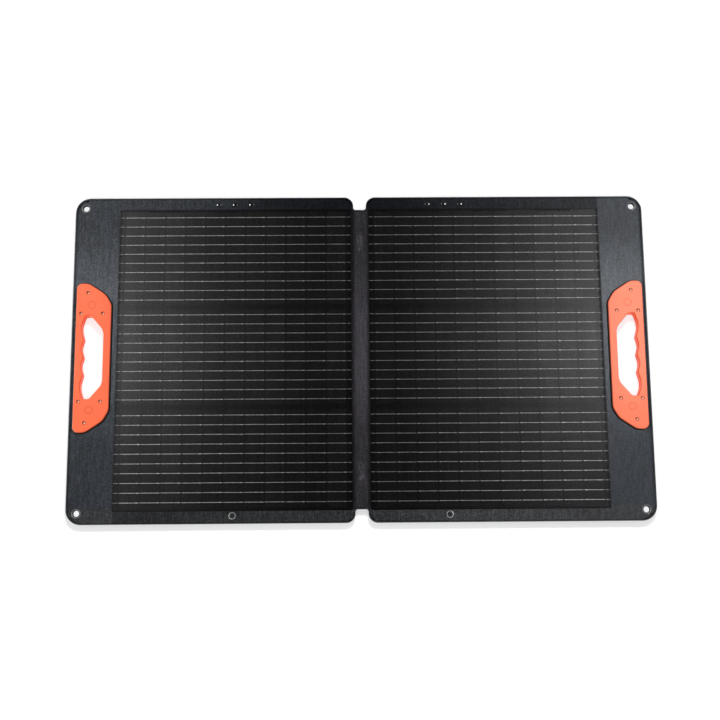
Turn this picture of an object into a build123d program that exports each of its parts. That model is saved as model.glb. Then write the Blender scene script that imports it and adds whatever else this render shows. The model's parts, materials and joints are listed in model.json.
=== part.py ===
from build123d import *
import os

# Two-fold camping solar panel, lying open and face up.
# Frame: +X to the right, +Y towards the edge where the stand legs are hinged,
# +Z out of the cell side. Origin: middle of the hinge, on the resting plane.
# Everything is in millimetres. "In" and "out" are distances in X from the hinge
# line, and tables in these terms describe the right half; SIGN mirrors them.

os.makedirs("parts", exist_ok=True)

SIGN = {"left": -1, "right": 1}

# ------------------------------------------------------------ panel and layers
PANEL_IN = 12.25          # hinge-side edge of each stiff half
PANEL_OUT = 545.0         # free side edge
HALF_H = 312.0            # half the height
R_OUTER = 28.0            # free corners
R_INNER = 17.0            # hinge-side corners

# layer stack, from the back of the panel to its face
Z_BACK = 11.0
T_REAR_FABRIC = 0.8
T_BOARD = 2.2
T_FRONT_FABRIC = 0.6
T_ENCAPSULANT = 0.2
T_CELL = 0.2
T_RIBBON = 0.2
T_FILM = 0.3
Z_BOARD = Z_BACK + T_REAR_FABRIC
Z_LAM = Z_BOARD + T_BOARD                 # top of the board
Z_CELL = Z_LAM + T_ENCAPSULANT
Z_RIBBON = Z_CELL + T_CELL
Z_FILM = Z_RIBBON + T_RIBBON
Z_FACE = Z_LAM + T_FRONT_FABRIC           # face of the fabric margins

HOLE_CLEAR = 0.1          # radial clearance round grommets, rivets and eyelets

# cell window in the front fabric, and the sheets that go with it
WINDOW_IN, WINDOW_OUT, WINDOW_Y = 17.8, 459.5, 287.8
ENCAPSULANT_CLEAR = 0.1
FILM_LAP = 1.0            # the film laps this far over the window's edge
FILM_IN, FILM_OUT, FILM_Y = WINDOW_IN - FILM_LAP, WINDOW_OUT + FILM_LAP, WINDOW_Y + FILM_LAP
FILM_CORNER_R = 3.0

# ----------------------------------------------------------------------- cells
# square wafers cut in five, eleven strips to a row, three rows
WAFER = 182.0
STRIPS_PER_WAFER = 5
STRIP_W = WAFER / STRIPS_PER_WAFER
STRIP_PITCH = 38.4
STRIPS = 11
FIRST_GAP = 26.44         # middle of the gap before the strip next to the hinge
ROW_Y = (191.65, 0.25, -191.6)
WAFER_CHAMFER = 7.35
RIBBONS = 10              # ribbons in each row
RIBBON_W = 0.9
RIBBON_PITCH = 18.0
RIBBON_IN, RIBBON_OUT = 18.2, 459.0
BUS_W = 4.0
BUS_L = 168.0             # end conductor serving a single row
BUS_GAP_IN, BUS_GAP_OUT = 2.0, 1.4        # from the end gaps of the strips

# ----------------------------------------------------------------------- hinge
# it folds like a book's spine, along two lines at +-FOLD_X
FOLD_X = 11.0
T_SPINE = 1.6
FOLD_Z = Z_BOARD + T_SPINE / 2            # height of both fold lines
HINGE_H = 287.1           # half its length
HINGE_LAP = 30.0          # how far the rear fabric is cut back for its tabs
TAB_SEAM = 0.2            # between a tab and the rear fabric round it
TAB_GAP = 0.4             # clearance of each tab from its fold line
TAB_IN, TAB_OUT = FOLD_X + TAB_GAP, HINGE_LAP - TAB_SEAM
BRAID_L, BRAID_Y, BRAID_T = 38.0, 220.0, 0.5
BRAID_MARGIN = 3.0        # between a braid's ends and the fold lines

# --------------------------------------------------------------------- handles
HANDLE_FRONT_T = 6.0
HANDLE_WALL = 2.6
HANDLE_FRONT_FILLET = 2.4
HANDLE_REAR_FILLET = 3.0
SLEEVE_WALL = 2.4
SLEEVE_CLEAR = 0.25

# upper half of the handle outline: x, y, corner radius
HANDLE_UPPER = [
    (537.0, 142.5, 11.0), (514.5, 142.5, 25.0), (482.0, 121.0, 30.0), (470.8, 101.5, 22.0),
]
# upper half of the hand hole, with finger hollows outside: x, y, corner radius
GRIP_UPPER = [
    (484.5, 45.0, 12.0), (487.0, 54.0, 12.0), (508.5, 79.3, 6.0), (519.5, 79.3, 5.0),
    (524.6, 64.0, 20.0), (525.8, 52.0, 30.0), (520.6, 34.0, 4.2), (525.8, 17.0, 26.0),
]
GRIP_MIDDLE = [(520.6, 0.0, 4.2)]         # crest between the two middle hollows


def with_lower_half(upper, middle):
    """Complete an upper half outline with its mirror image below y = 0."""
    return upper + middle + [(x, -y, radius) for x, y, radius in reversed(upper)]


HANDLE_CORNERS = with_lower_half(HANDLE_UPPER, [])
GRIP_CORNERS = with_lower_half(GRIP_UPPER, GRIP_MIDDLE)

SCREW_XY = ((514.8, 124.0), (527.2, 84.0), (486.4, 84.0),
            (514.8, -124.0), (527.2, -84.0), (486.4, -84.0))
SCREW_SHANK_R = 1.5
SCREW_HEAD_R, SCREW_HEAD_T = 3.1, 1.5
SCREW_HEAD_FILLET = 0.8
SCREW_TIP_Z = 4.0
SCREW_SEAT_Z = Z_FACE + 3.4               # underside of the heads
SCREW_CROSS_L, SCREW_CROSS_W, SCREW_CROSS_DEPTH = 3.2, 0.8, 0.9
SCREW_RECESS_R = 3.4
SCREW_CUT_DEPTH = 4.0                     # of the recesses and of the bores below them
SHEET_SCREW_HOLE_R = 1.8
FRONT_BORE_R, FRONT_BOSS_R = 1.7, 5.2
PILOT_CLEAR, REAR_BOSS_R, PILOT_Z = 0.05, 4.2, 3.0

BLANK_RING_XY = ((507.5, 100.0), (507.5, -100.0))
BLANK_RING_OUT_R, BLANK_RING_IN_R, BLANK_RING_T = 7.2, 6.5, 0.25

# ---------------------------------------------------- grommets, rivets, snaps
# Turned profiles hold (radius, z) points: "lower" runs up the outside to the
# start of the crown's arc, "arc" is a point on it, and "upper" runs from the
# arc's end towards the first point again.
GROMMET_XY = ((525.0, 291.5), (525.0, -291.5))
GROMMET_BORE_R = 5.75
GROMMET_TUBE_R = 6.75
GROMMET_FLANGE_R = 9.0
WASHER_T = 1.0
WASHER_OVERHANG = 0.5                     # beyond the grommet's flange
GROMMET_PROFILE = dict(
    lower=[(GROMMET_BORE_R, Z_BACK - 1.5), (8.2, Z_BACK - 1.5), (8.2, Z_BACK - WASHER_T),
           (GROMMET_TUBE_R, Z_BACK - WASHER_T), (GROMMET_TUBE_R, Z_FACE),
           (GROMMET_FLANGE_R, Z_FACE), (GROMMET_FLANGE_R, Z_FACE + 0.35)],
    arc=(7.6, Z_FACE + 1.35),
    upper=[(6.3, Z_FACE + 0.95), (GROMMET_BORE_R, Z_FACE + 0.2)],
)

BRACKET_T = 1.5
RIVET_DX = 31.3
RIVET_Y = 297.7
RIVET_R = 2.0
RIVET_BORE_R = 1.1
RIVET_PROFILE = dict(
    lower=[(RIVET_BORE_R, Z_BACK - 2.4), (3.4, Z_BACK - 2.4), (3.4, Z_BACK - BRACKET_T),
           (RIVET_R, Z_BACK - BRACKET_T), (RIVET_R, Z_FACE), (4.9, Z_FACE),
           (4.9, Z_FACE + 0.4)],
    arc=(3.8, Z_FACE + 1.25),
    upper=[(2.3, Z_FACE + 1.1), (RIVET_BORE_R, Z_FACE - 0.6)],
)

SNAP_Y = -297.6
EYELET_R = 4.5
EYELET_BORE_R = 3.9
EYELET_PROFILE = dict(
    lower=[(EYELET_BORE_R, Z_BACK - 1.0), (6.4, Z_BACK - 1.0), (6.4, Z_BACK),
           (EYELET_R, Z_BACK), (EYELET_R, Z_FACE), (7.0, Z_FACE), (7.0, Z_FACE + 0.3)],
    arc=(5.7, Z_FACE + 1.25),
    upper=[(4.4, Z_FACE + 0.9), (EYELET_BORE_R, Z_FACE + 0.2)],
)
# the stud is solid, and its profile runs downwards
STUD_PROFILE = dict(
    lower=[(0, Z_FACE - 0.2), (3.85, Z_FACE - 0.2), (3.85, Z_BACK - 1.8),
           (1.9, Z_BACK - 1.8), (1.9, Z_BACK - 3.0)],
    arc=(2.35, Z_BACK - 3.8),
    upper=[(1.6, Z_BACK - 4.6), (0, Z_BACK - 4.6)],
)

# ------------------------------------------------------------------ stand legs
LEG_X = {"left": -239.0, "right": 162.0}  # middle of each leg
LEG_HALF_W = 38.0
LEG_NECK_HALF_W = 33.6
LEG_PIVOT_Y = 281.0
LEG_PIVOT_Z = 5.4
LEG_NECK_Y = LEG_PIVOT_Y - 7.0            # where the neck starts to widen
LEG_SHOULDER_Y = LEG_PIVOT_Y - 14.0       # where the leg has its full width
LEG_END_Y = -304.5
LEG_Z0, LEG_T = 2.4, 5.6
LEG_TOP = LEG_Z0 + LEG_T                  # side towards the panel
LEG_END_R = 3.0
BARREL_R = 4.2
PIN_R = 2.0
PIN_CLEAR = 0.06
PIN_OVERHANG = 3.6                        # beyond each side of the neck
PIN_CHAMFER = 0.4
CHANNEL_DX = 24.0
CHANNEL_Y, CHANNEL_L, CHANNEL_W, CHANNEL_DEPTH = -12.0, 520.0, 19.0, 3.0
NOTCH_R, NOTCH_DEPTH, NOTCH_CUT = 9.0, 1.6, 2.0

BRACKET_Y, BRACKET_W, BRACKET_CORNER_R = 294.0, 20.0, 4.0
BRACKET_MARGIN = 1.0                      # beyond each side of the leg
EAR_GAP, EAR_T = 0.4, 2.6
EAR_R = 4.4
EAR_ROOT_DY = 7.5                         # from the pivot to the ear's root at +Y
EAR_BORE_CLEAR = 0.01

BRACE_Y, BRACE_W, BRACE_T, BRACE_CORNER_R = 131.0, 25.0, 2.4, 0.6
BRACE_GAP = 0.3                           # above the leg
FOOT_Z0, FOOT_H, FOOT_L = 1.2, 8.0, 5.2
FOOT_INSET, FOOT_CORNER_R, FOOT_FILLET = 1.0, 1.5, 1.2
SOCKET_HOLE_R = 6.1
SOCKET_R, SOCKET_BORE_R = 6.05, 2.9
SOCKET_RECESS, SOCKET_FILLET = 0.4, 0.6


def corners(half_w, half_h):
    """The four corners of a centred rectangle."""
    return [(x, y) for y in (half_h, -half_h) for x in (half_w, -half_w)]


# --------------------------------------------------------------- junction box
# on the back of the right half
BOX_X, BOX_Y = 392.0, 52.0
BOX_W, BOX_H = 86.0, 62.0
BOX_CORNER_R = 5.0
BOX_Z0 = 0.8
BOX_WALL = 2.0
BOX_CAVITY_R = BOX_CORNER_R - BOX_WALL
BOX_FLOOR = 1.4                           # tray floor, against the panel back
LID_T = 1.8
LID_CHAMFER = 0.7
GASKET_T = 0.6
GASKET_INSET = 0.3                        # from the outside and from the cavity
TRAY_Z = BOX_Z0 + LID_T + GASKET_T
LID_SCREW_XY = corners(BOX_W / 2 - BOX_CORNER_R, BOX_H / 2 - BOX_CORNER_R)
LID_POST_R, LID_PILOT_R, LID_PILOT_DEPTH = 3.6, 1.05, 5.0
LID_HOLE_R, LID_COUNTERBORE_R, LID_COUNTERBORE = 1.15, 2.1, 1.0
GASKET_HOLE_R = 1.2
LID_SCREW_R, LID_SCREW_L = 1.0, 5.6
LID_HEAD_R, LID_HEAD_T = 2.0, 0.9
LID_CROSS_L, LID_CROSS_W, LID_CROSS_DEPTH = 2.6, 0.6, 0.5

PCB_Z, PCB_T = 6.7, 1.2
PCB_W, PCB_H, PCB_CORNER_R = 64.0, 44.0, 1.5
STANDOFF_INSET, STANDOFF_R = 5.0, 2.4
STANDOFF_XY = corners(PCB_W / 2 - STANDOFF_INSET, PCB_H / 2 - STANDOFF_INSET)
COMPONENT_H = 2.5
# blocks on the circuit board: size in x and y, then their places from the box middle
COMPONENTS = (
    (10.0, 13.0, ((-14.0, 6.0), (4.0, 6.0))),
    (12.0, 8.0, ((-22.0, -14.0), (22.0, -14.0))),
)

# -------------------------------------------------------------- output cable
CABLE_R = 2.7
GLAND_Y = BOX_Y - BOX_H / 2               # outside of the box's lower wall
GLAND_Z = 6.6                             # height of the cable and gland axis
GLAND_R, GLAND_L = 3.9, 9.0
GLAND_NECK_R, GLAND_NECK_L = 3.0, 4.0     # the part through the wall
GLAND_BORE_R = CABLE_R + 0.03
OUTLET_R = 3.05
OUTLET_MARGIN = 1.0                       # cut beyond each face of the wall
CABLE_START_Y = GLAND_Y + 3.5
CABLE_TURN_Y = -205.0

CLIP_L = 10.0
CLIP_FOOT_X, CLIP_FOOT_T = 11.0, 1.3
CLIP_OUT_R, CLIP_IN_R = 4.4, 2.9

PLUG_X, PLUG_Y0, PLUG_Z = 306.0, 60.0, 6.0
PLUG_R, PLUG_L, PLUG_FILLET = 5.0, 36.0, 1.2
CABLE_IN_PLUG = 2.0
PLUG_SOCKET_CLEAR, PLUG_SOCKET_DEPTH = 0.02, 3.0
GROOVES, GROOVE_Y0, GROOVE_PITCH, GROOVE_W = 4, 6.0, 4.0, 1.6
GROOVE_OUT_R, GROOVE_IN_R = 5.2, 4.5
BARREL_TIP_R, BARREL_TIP_BORE_R, BARREL_TIP_L = 4.0, 2.8, 11.0
CENTRE_ROD_R, CENTRE_ROD_L = 0.6, 9.5

CLIP_XY = ((BOX_X, -60.0), (BOX_X, -170.0), (PLUG_X, -170.0), (PLUG_X, -20.0))


# --------------------------------------------------------------------- helpers
def save(builder, name):
    """Label a finished piece and write its file."""
    builder.part.label = name
    export_step(builder.part, f"parts/{name}.step")


def level(z):
    """Horizontal plane at a height."""
    return Plane.XY.offset(z)


def upright(y):
    """Plane with local axes x and z; positive extrusion from it goes towards -Y."""
    return Plane.XZ.offset(-y)


def on_side(side, points):
    return [(SIGN[side] * x, y) for x, y in points]


def middle_x(side, x_in, x_out):
    return SIGN[side] * (x_in + x_out) / 2


def rivet_points(side):
    return [(LEG_X[side] + dx, RIVET_Y) for dx in (-RIVET_DX, 0, RIVET_DX)]


# The outline functions are called inside the sketch that takes their result.
def panel_outline(side):
    """One half, its hinge-side corners tighter than its free ones."""
    outer, inner = (-1, 0) if side == "right" else (0, -1)
    with BuildSketch() as outline:
        with Locations((middle_x(side, PANEL_IN, PANEL_OUT), 0)):
            Rectangle(PANEL_OUT - PANEL_IN, 2 * HALF_H)
        fillet(outline.vertices().group_by(Axis.X)[outer], radius=R_OUTER)
        fillet(outline.vertices().group_by(Axis.X)[inner], radius=R_INNER)
    return outline.sketch


def rounded_polygon(side, corner_table):
    """Closed outline from (x, y, corner radius) triples."""
    sign = SIGN[side]
    with BuildSketch() as outline:
        Polygon(*[(sign * x, y) for x, y, radius in corner_table], align=None)
        for x, y, radius in corner_table:
            corner = outline.vertices().sort_by_distance((sign * x, y, 0))[0]
            fillet(corner, radius=radius)
    return outline.sketch


def grown_outline(side, corner_table, grow):
    with BuildSketch() as outline:
        add(rounded_polygon(side, corner_table))
        if grow:
            offset(amount=grow)
    return outline.sketch


def handle_outline(side, grow=0.0):
    return grown_outline(side, HANDLE_CORNERS, grow)


def grip_outline(side, grow=0.0):
    return grown_outline(side, GRIP_CORNERS, grow)


# ------------------------------------------------------------ the panel layers
def build_sheet(name, side, z, thickness, cutout=None):
    """Full-size layer with all its holes; cutout is (x in, x out, half height)."""
    with BuildPart() as sheet:
        with BuildSketch(level(z)):
            add(panel_outline(side))
            if cutout:
                x_in, x_out, half_height = cutout
                with Locations((middle_x(side, x_in, x_out), 0)):
                    Rectangle(x_out - x_in, 2 * half_height, mode=Mode.SUBTRACT)
            add(grip_outline(side, SLEEVE_WALL + SLEEVE_CLEAR), mode=Mode.SUBTRACT)
            with Locations(*on_side(side, SCREW_XY)):
                Circle(SHEET_SCREW_HOLE_R, mode=Mode.SUBTRACT)
            with Locations(*on_side(side, GROMMET_XY)):
                Circle(GROMMET_TUBE_R + HOLE_CLEAR, mode=Mode.SUBTRACT)
            with Locations(*rivet_points(side)):
                Circle(RIVET_R + HOLE_CLEAR, mode=Mode.SUBTRACT)
            with Locations((LEG_X[side], SNAP_Y)):
                Circle(EYELET_R + HOLE_CLEAR, mode=Mode.SUBTRACT)
        extrude(amount=thickness)
    save(sheet, f"{side}_{name}")


def build_sheets(side):
    # woven back cover, short of the hinge tab that laps under the board
    build_sheet("rear_fabric", side, Z_BACK, T_REAR_FABRIC,
                cutout=(0, HINGE_LAP, HINGE_H + TAB_SEAM))
    # stiff glass-fibre board that carries the cells
    build_sheet("stiffener_board", side, Z_BOARD, T_BOARD)
    # front fabric with its cell window
    build_sheet("front_fabric", side, Z_LAM, T_FRONT_FABRIC,
                cutout=(WINDOW_IN, WINDOW_OUT, WINDOW_Y))


def build_encapsulant(side):
    """Adhesive sheet under the cells."""
    with BuildPart() as encapsulant:
        with BuildSketch(level(Z_LAM)):
            with Locations((middle_x(side, WINDOW_IN, WINDOW_OUT), 0)):
                Rectangle(WINDOW_OUT - WINDOW_IN - 2 * ENCAPSULANT_CLEAR,
                          2 * (WINDOW_Y - ENCAPSULANT_CLEAR))
        extrude(amount=T_ENCAPSULANT)
    save(encapsulant, f"{side}_encapsulant_sheet")


def strip_outline(index, row):
    """Corner points of one cell strip, counted from the hinge.

    Wafers are counted from the free side, and the strips at a wafer's edge
    keep its clipped corners."""
    x_in = FIRST_GAP + STRIP_PITCH * index + (STRIP_PITCH - STRIP_W) / 2
    x_out = x_in + STRIP_W
    bottom, top = row - WAFER / 2, row + WAFER / 2
    clip = WAFER_CHAMFER
    place_in_wafer = (STRIPS - 1 - index) % STRIPS_PER_WAFER
    clipped_out = place_in_wafer == 0
    clipped_in = place_in_wafer == STRIPS_PER_WAFER - 1

    if clipped_in:
        points = [(x_in, bottom + clip), (x_in + clip, bottom)]
    else:
        points = [(x_in, bottom)]
    if clipped_out:
        points += [(x_out - clip, bottom), (x_out, bottom + clip),
                   (x_out, top - clip), (x_out - clip, top)]
    else:
        points += [(x_out, bottom), (x_out, top)]
    if clipped_in:
        points += [(x_in + clip, top), (x_in, top - clip)]
    else:
        points += [(x_in, top)]
    return points


def build_cells(side):
    with BuildPart() as cells:
        with BuildSketch(level(Z_CELL)):
            for row in ROW_Y:
                for index in range(STRIPS):
                    Polygon(*on_side(side, strip_outline(index, row)), align=None)
        extrude(amount=T_CELL)
    save(cells, f"{side}_cell_strips")


def build_ribbons(side):
    """Busbar ribbons along each row."""
    x = middle_x(side, RIBBON_IN, RIBBON_OUT)
    with BuildPart() as ribbons:
        with BuildSketch(level(Z_RIBBON)):
            for row in ROW_Y:
                with Locations(*[(x, row + RIBBON_PITCH * ((RIBBONS - 1) / 2 - k))
                                 for k in range(RIBBONS)]):
                    Rectangle(RIBBON_OUT - RIBBON_IN, RIBBON_W)
        extrude(amount=T_RIBBON)
    save(ribbons, f"{side}_busbar_ribbons")


def build_end_conductors(side):
    """Conductors that tie each row's ribbons together and join the rows in
    series, by turns at the free side and at the hinge side."""
    x_free = SIGN[side] * (FIRST_GAP + STRIP_PITCH * STRIPS + BUS_GAP_OUT + BUS_W / 2)
    x_hinge = SIGN[side] * (FIRST_GAP - BUS_GAP_IN - BUS_W / 2)
    top, middle, bottom = ROW_Y
    with BuildPart() as conductors:
        with BuildSketch(level(Z_CELL)):
            for x, y_high, y_low in ((x_free, top, middle), (x_free, bottom, bottom),
                                     (x_hinge, top, top), (x_hinge, middle, bottom)):
                with Locations((x, (y_high + y_low) / 2)):
                    Rectangle(BUS_W, y_high - y_low + BUS_L)
        extrude(amount=T_CELL)
    save(conductors, f"{side}_end_conductors")


def build_film(side):
    """Embossed fluoropolymer film over the cells."""
    with BuildPart() as film:
        with BuildSketch(level(Z_FILM)):
            with Locations((middle_x(side, FILM_IN, FILM_OUT), 0)):
                RectangleRounded(FILM_OUT - FILM_IN, 2 * FILM_Y, FILM_CORNER_R)
        extrude(amount=T_FILM)
    save(film, f"{side}_front_film")


# ----------------------------------------------------------------- the handles
def build_handle_front(side):
    """Hollow plate on the face, with the sleeve that lines the hand hole."""
    screws = on_side(side, SCREW_XY)
    with BuildPart() as handle:
        with BuildSketch(level(Z_FACE)):
            add(handle_outline(side))
            add(grip_outline(side), mode=Mode.SUBTRACT)
        extrude(amount=HANDLE_FRONT_T)
        fillet(handle.faces().sort_by(Axis.Z)[-1].edges(), radius=HANDLE_FRONT_FILLET)
        # hollow, leaving a boss round each screw
        with BuildSketch(level(Z_FACE)):
            add(handle_outline(side, -HANDLE_WALL))
            add(grip_outline(side, HANDLE_WALL), mode=Mode.SUBTRACT)
            with Locations(*screws):
                Circle(FRONT_BOSS_R, mode=Mode.SUBTRACT)
        extrude(amount=HANDLE_FRONT_T - HANDLE_WALL, mode=Mode.SUBTRACT)
        # sleeve through the panel
        with BuildSketch(level(Z_BACK)):
            add(grip_outline(side, SLEEVE_WALL))
            add(grip_outline(side), mode=Mode.SUBTRACT)
        extrude(amount=Z_FACE - Z_BACK)
        # screw recesses, then the bores below them
        with BuildSketch(level(SCREW_SEAT_Z)):
            with Locations(*screws):
                Circle(SCREW_RECESS_R)
        extrude(amount=SCREW_CUT_DEPTH, mode=Mode.SUBTRACT)
        with BuildSketch(level(Z_FACE)):
            with Locations(*screws):
                Circle(FRONT_BORE_R)
        extrude(amount=SCREW_CUT_DEPTH, mode=Mode.SUBTRACT)
        # plain raised rings, blank
        with BuildSketch(level(Z_FACE + HANDLE_FRONT_T)):
            with Locations(*on_side(side, BLANK_RING_XY)):
                Circle(BLANK_RING_OUT_R)
                Circle(BLANK_RING_IN_R, mode=Mode.SUBTRACT)
        extrude(amount=BLANK_RING_T)
    save(handle, f"{side}_handle_front")


def build_handle_rear(side):
    """Hollow half behind the panel, with a boss for each screw."""
    screws = on_side(side, SCREW_XY)
    with BuildPart() as handle:
        with BuildSketch(Plane.XY):
            add(handle_outline(side))
            add(grip_outline(side), mode=Mode.SUBTRACT)
        extrude(amount=Z_BACK)
        fillet(handle.faces().sort_by(Axis.Z)[0].edges(), radius=HANDLE_REAR_FILLET)
        with BuildSketch(level(HANDLE_WALL)):
            add(handle_outline(side, -HANDLE_WALL))
            add(grip_outline(side, HANDLE_WALL), mode=Mode.SUBTRACT)
            with Locations(*screws):
                Circle(REAR_BOSS_R, mode=Mode.SUBTRACT)
        extrude(amount=Z_BACK - HANDLE_WALL, mode=Mode.SUBTRACT)
        with BuildSketch(level(PILOT_Z)):
            with Locations(*screws):
                Circle(SCREW_SHANK_R + PILOT_CLEAR)
        extrude(amount=Z_BACK - PILOT_Z, mode=Mode.SUBTRACT)
    save(handle, f"{side}_handle_rear")


def build_handle_screws(side):
    """Self-tapping screws, their heads sunk in the front recesses."""
    points = on_side(side, SCREW_XY)
    with BuildPart() as screws:
        with BuildSketch(level(SCREW_TIP_Z)):
            with Locations(*points):
                Circle(SCREW_SHANK_R)
        extrude(amount=SCREW_SEAT_Z - SCREW_TIP_Z)
        with BuildSketch(level(SCREW_SEAT_Z)):
            with Locations(*points):
                Circle(SCREW_HEAD_R)
        extrude(amount=SCREW_HEAD_T)
        top_rims = screws.edges().filter_by(GeomType.CIRCLE).group_by(Axis.Z)[-1]
        fillet(top_rims, radius=SCREW_HEAD_FILLET)
        with BuildSketch(level(SCREW_SEAT_Z + SCREW_HEAD_T)):
            with Locations(*points):
                Rectangle(SCREW_CROSS_L, SCREW_CROSS_W)
                Rectangle(SCREW_CROSS_W, SCREW_CROSS_L)
        extrude(amount=-SCREW_CROSS_DEPTH, mode=Mode.SUBTRACT)
    save(screws, f"{side}_handle_screws")


# ------------------------------------------------- grommets, rivets and snaps
def build_turned(name, centres, lower, arc, upper):
    """Revolve one profile of (radius, z) points round the vertical at each centre."""
    with BuildPart() as turned:
        for x, y in centres:
            rise = [(x + radius, z) for radius, z in lower]
            close = [(x + radius, z) for radius, z in upper + lower[:1]]
            with BuildSketch(upright(y)):
                with BuildLine():
                    Polyline(*rise)
                    ThreePointArc(rise[-1], (x + arc[0], arc[1]), close[0])
                    Polyline(*close)
                make_face()
            revolve(axis=Axis((x, y, 0), (0, 0, 1)))
    save(turned, name)


def build_turned_fittings(side):
    snap = [(LEG_X[side], SNAP_Y)]
    build_turned(f"{side}_grommets", on_side(side, GROMMET_XY), **GROMMET_PROFILE)
    # tubular rivets through board and bracket
    build_turned(f"{side}_stand_rivets", rivet_points(side), **RIVET_PROFILE)
    # snap fastener: ring eyelet seen on the face, stud standing out of the back
    build_turned(f"{side}_snap_eyelet", snap, **EYELET_PROFILE)
    build_turned(f"{side}_snap_stud", snap, **STUD_PROFILE)


def build_washers(side):
    with BuildPart() as washers:
        with BuildSketch(level(Z_BACK - WASHER_T)):
            with Locations(*on_side(side, GROMMET_XY)):
                Circle(GROMMET_FLANGE_R + WASHER_OVERHANG)
                Circle(GROMMET_TUBE_R + HOLE_CLEAR, mode=Mode.SUBTRACT)
        extrude(amount=WASHER_T)
    save(washers, f"{side}_grommet_washers")


# -------------------------------------------------------------- the stand legs
def build_bracket(side):
    """Riveted plate with two ears that hold the leg's pin."""
    leg_x = LEG_X[side]
    y, z = LEG_PIVOT_Y, LEG_PIVOT_Z
    with BuildPart() as bracket:
        with BuildSketch(level(Z_BACK - BRACKET_T)):
            with Locations((leg_x, BRACKET_Y)):
                RectangleRounded(2 * (LEG_HALF_W + BRACKET_MARGIN), BRACKET_W, BRACKET_CORNER_R)
            with Locations(*rivet_points(side)):
                Circle(RIVET_R + HOLE_CLEAR, mode=Mode.SUBTRACT)
        extrude(amount=BRACKET_T)
        for ear in (-1, 1):
            with BuildSketch(Plane.YZ.offset(leg_x + ear * (LEG_NECK_HALF_W + EAR_GAP))):
                with BuildLine():
                    ThreePointArc((y - EAR_R, z), (y, z - EAR_R), (y + EAR_R, z))
                    Polyline((y + EAR_R, z), (y + EAR_ROOT_DY, Z_BACK),
                             (y - EAR_R, Z_BACK), (y - EAR_R, z))
                make_face()
                with Locations((y, z)):
                    Circle(PIN_R + EAR_BORE_CLEAR, mode=Mode.SUBTRACT)
            extrude(amount=ear * EAR_T)
    save(bracket, f"{side}_stand_bracket")


def build_pin(side):
    half_length = LEG_NECK_HALF_W + PIN_OVERHANG
    with BuildPart() as pin:
        with BuildSketch(Plane.YZ.offset(LEG_X[side] - half_length)):
            with Locations((LEG_PIVOT_Y, LEG_PIVOT_Z)):
                Circle(PIN_R)
        extrude(amount=2 * half_length)
        chamfer(pin.edges().filter_by(GeomType.CIRCLE), length=PIN_CHAMFER)
    save(pin, f"{side}_stand_pin")


def build_brace(side):
    """Folded webbing between the panel back and the leg, which stops the leg."""
    z = LEG_TOP + BRACE_GAP
    with BuildPart() as brace:
        with BuildSketch(level(z)):
            with Locations((LEG_X[side], BRACE_Y)):
                RectangleRounded(BRACE_W, BRACE_T, BRACE_CORNER_R)
        extrude(amount=Z_BACK - z)
    save(brace, f"{side}_brace_webbing")


def build_leg(side):
    """Long flat strut: hinge neck with a barrel at the +Y end, hole for the
    snap socket near the other, rim and two ribs on the side away from the panel."""
    leg_x = LEG_X[side]
    left, right = leg_x - LEG_HALF_W, leg_x + LEG_HALF_W
    neck_left, neck_right = leg_x - LEG_NECK_HALF_W, leg_x + LEG_NECK_HALF_W
    with BuildPart() as leg:
        with BuildSketch(level(LEG_Z0)):
            with BuildLine():
                Polyline((left, LEG_END_Y), (right, LEG_END_Y),
                         (right, LEG_SHOULDER_Y), (neck_right, LEG_NECK_Y),
                         (neck_right, LEG_PIVOT_Y), (neck_left, LEG_PIVOT_Y),
                         (neck_left, LEG_NECK_Y), (left, LEG_SHOULDER_Y),
                         close=True)
            make_face()
            with Locations((leg_x, SNAP_Y)):
                Circle(SOCKET_HOLE_R, mode=Mode.SUBTRACT)
        extrude(amount=LEG_T)
        fillet(leg.edges().filter_by(Axis.Z).group_by(Axis.Y)[0], radius=LEG_END_R)
        # barrel round the pin
        with BuildSketch(Plane.YZ.offset(neck_left)):
            with Locations((LEG_PIVOT_Y, LEG_PIVOT_Z)):
                Circle(BARREL_R)
        extrude(amount=2 * LEG_NECK_HALF_W)
        with BuildSketch(Plane.YZ.offset(neck_left)):
            with Locations((LEG_PIVOT_Y, LEG_PIVOT_Z)):
                Circle(PIN_R + PIN_CLEAR)
        extrude(amount=2 * LEG_NECK_HALF_W, mode=Mode.SUBTRACT)
        # weight-saving channels between rim and ribs
        with BuildSketch(level(LEG_Z0)):
            for dx in (-CHANNEL_DX, 0.0, CHANNEL_DX):
                with Locations((leg_x + dx, CHANNEL_Y)):
                    SlotOverall(CHANNEL_L, CHANNEL_W, rotation=90)
        extrude(amount=CHANNEL_DEPTH, mode=Mode.SUBTRACT)
        # shallow thumb notch for pulling the leg open
        with BuildSketch(level(LEG_TOP - NOTCH_DEPTH)):
            with Locations((right, SNAP_Y)):
                Circle(NOTCH_R)
        extrude(amount=NOTCH_CUT, mode=Mode.SUBTRACT)
    save(leg, f"{side}_stand_leg")


def build_foot(side):
    """Rubber foot over the leg's end."""
    with BuildPart() as foot:
        with BuildSketch(level(FOOT_Z0)):
            with Locations((LEG_X[side], LEG_END_Y - FOOT_L / 2)):
                RectangleRounded(2 * (LEG_HALF_W - FOOT_INSET), FOOT_L, FOOT_CORNER_R)
        extrude(amount=FOOT_H)
        fillet(foot.edges().filter_by(Axis.X), radius=FOOT_FILLET)
    save(foot, f"{side}_stand_foot")


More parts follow.
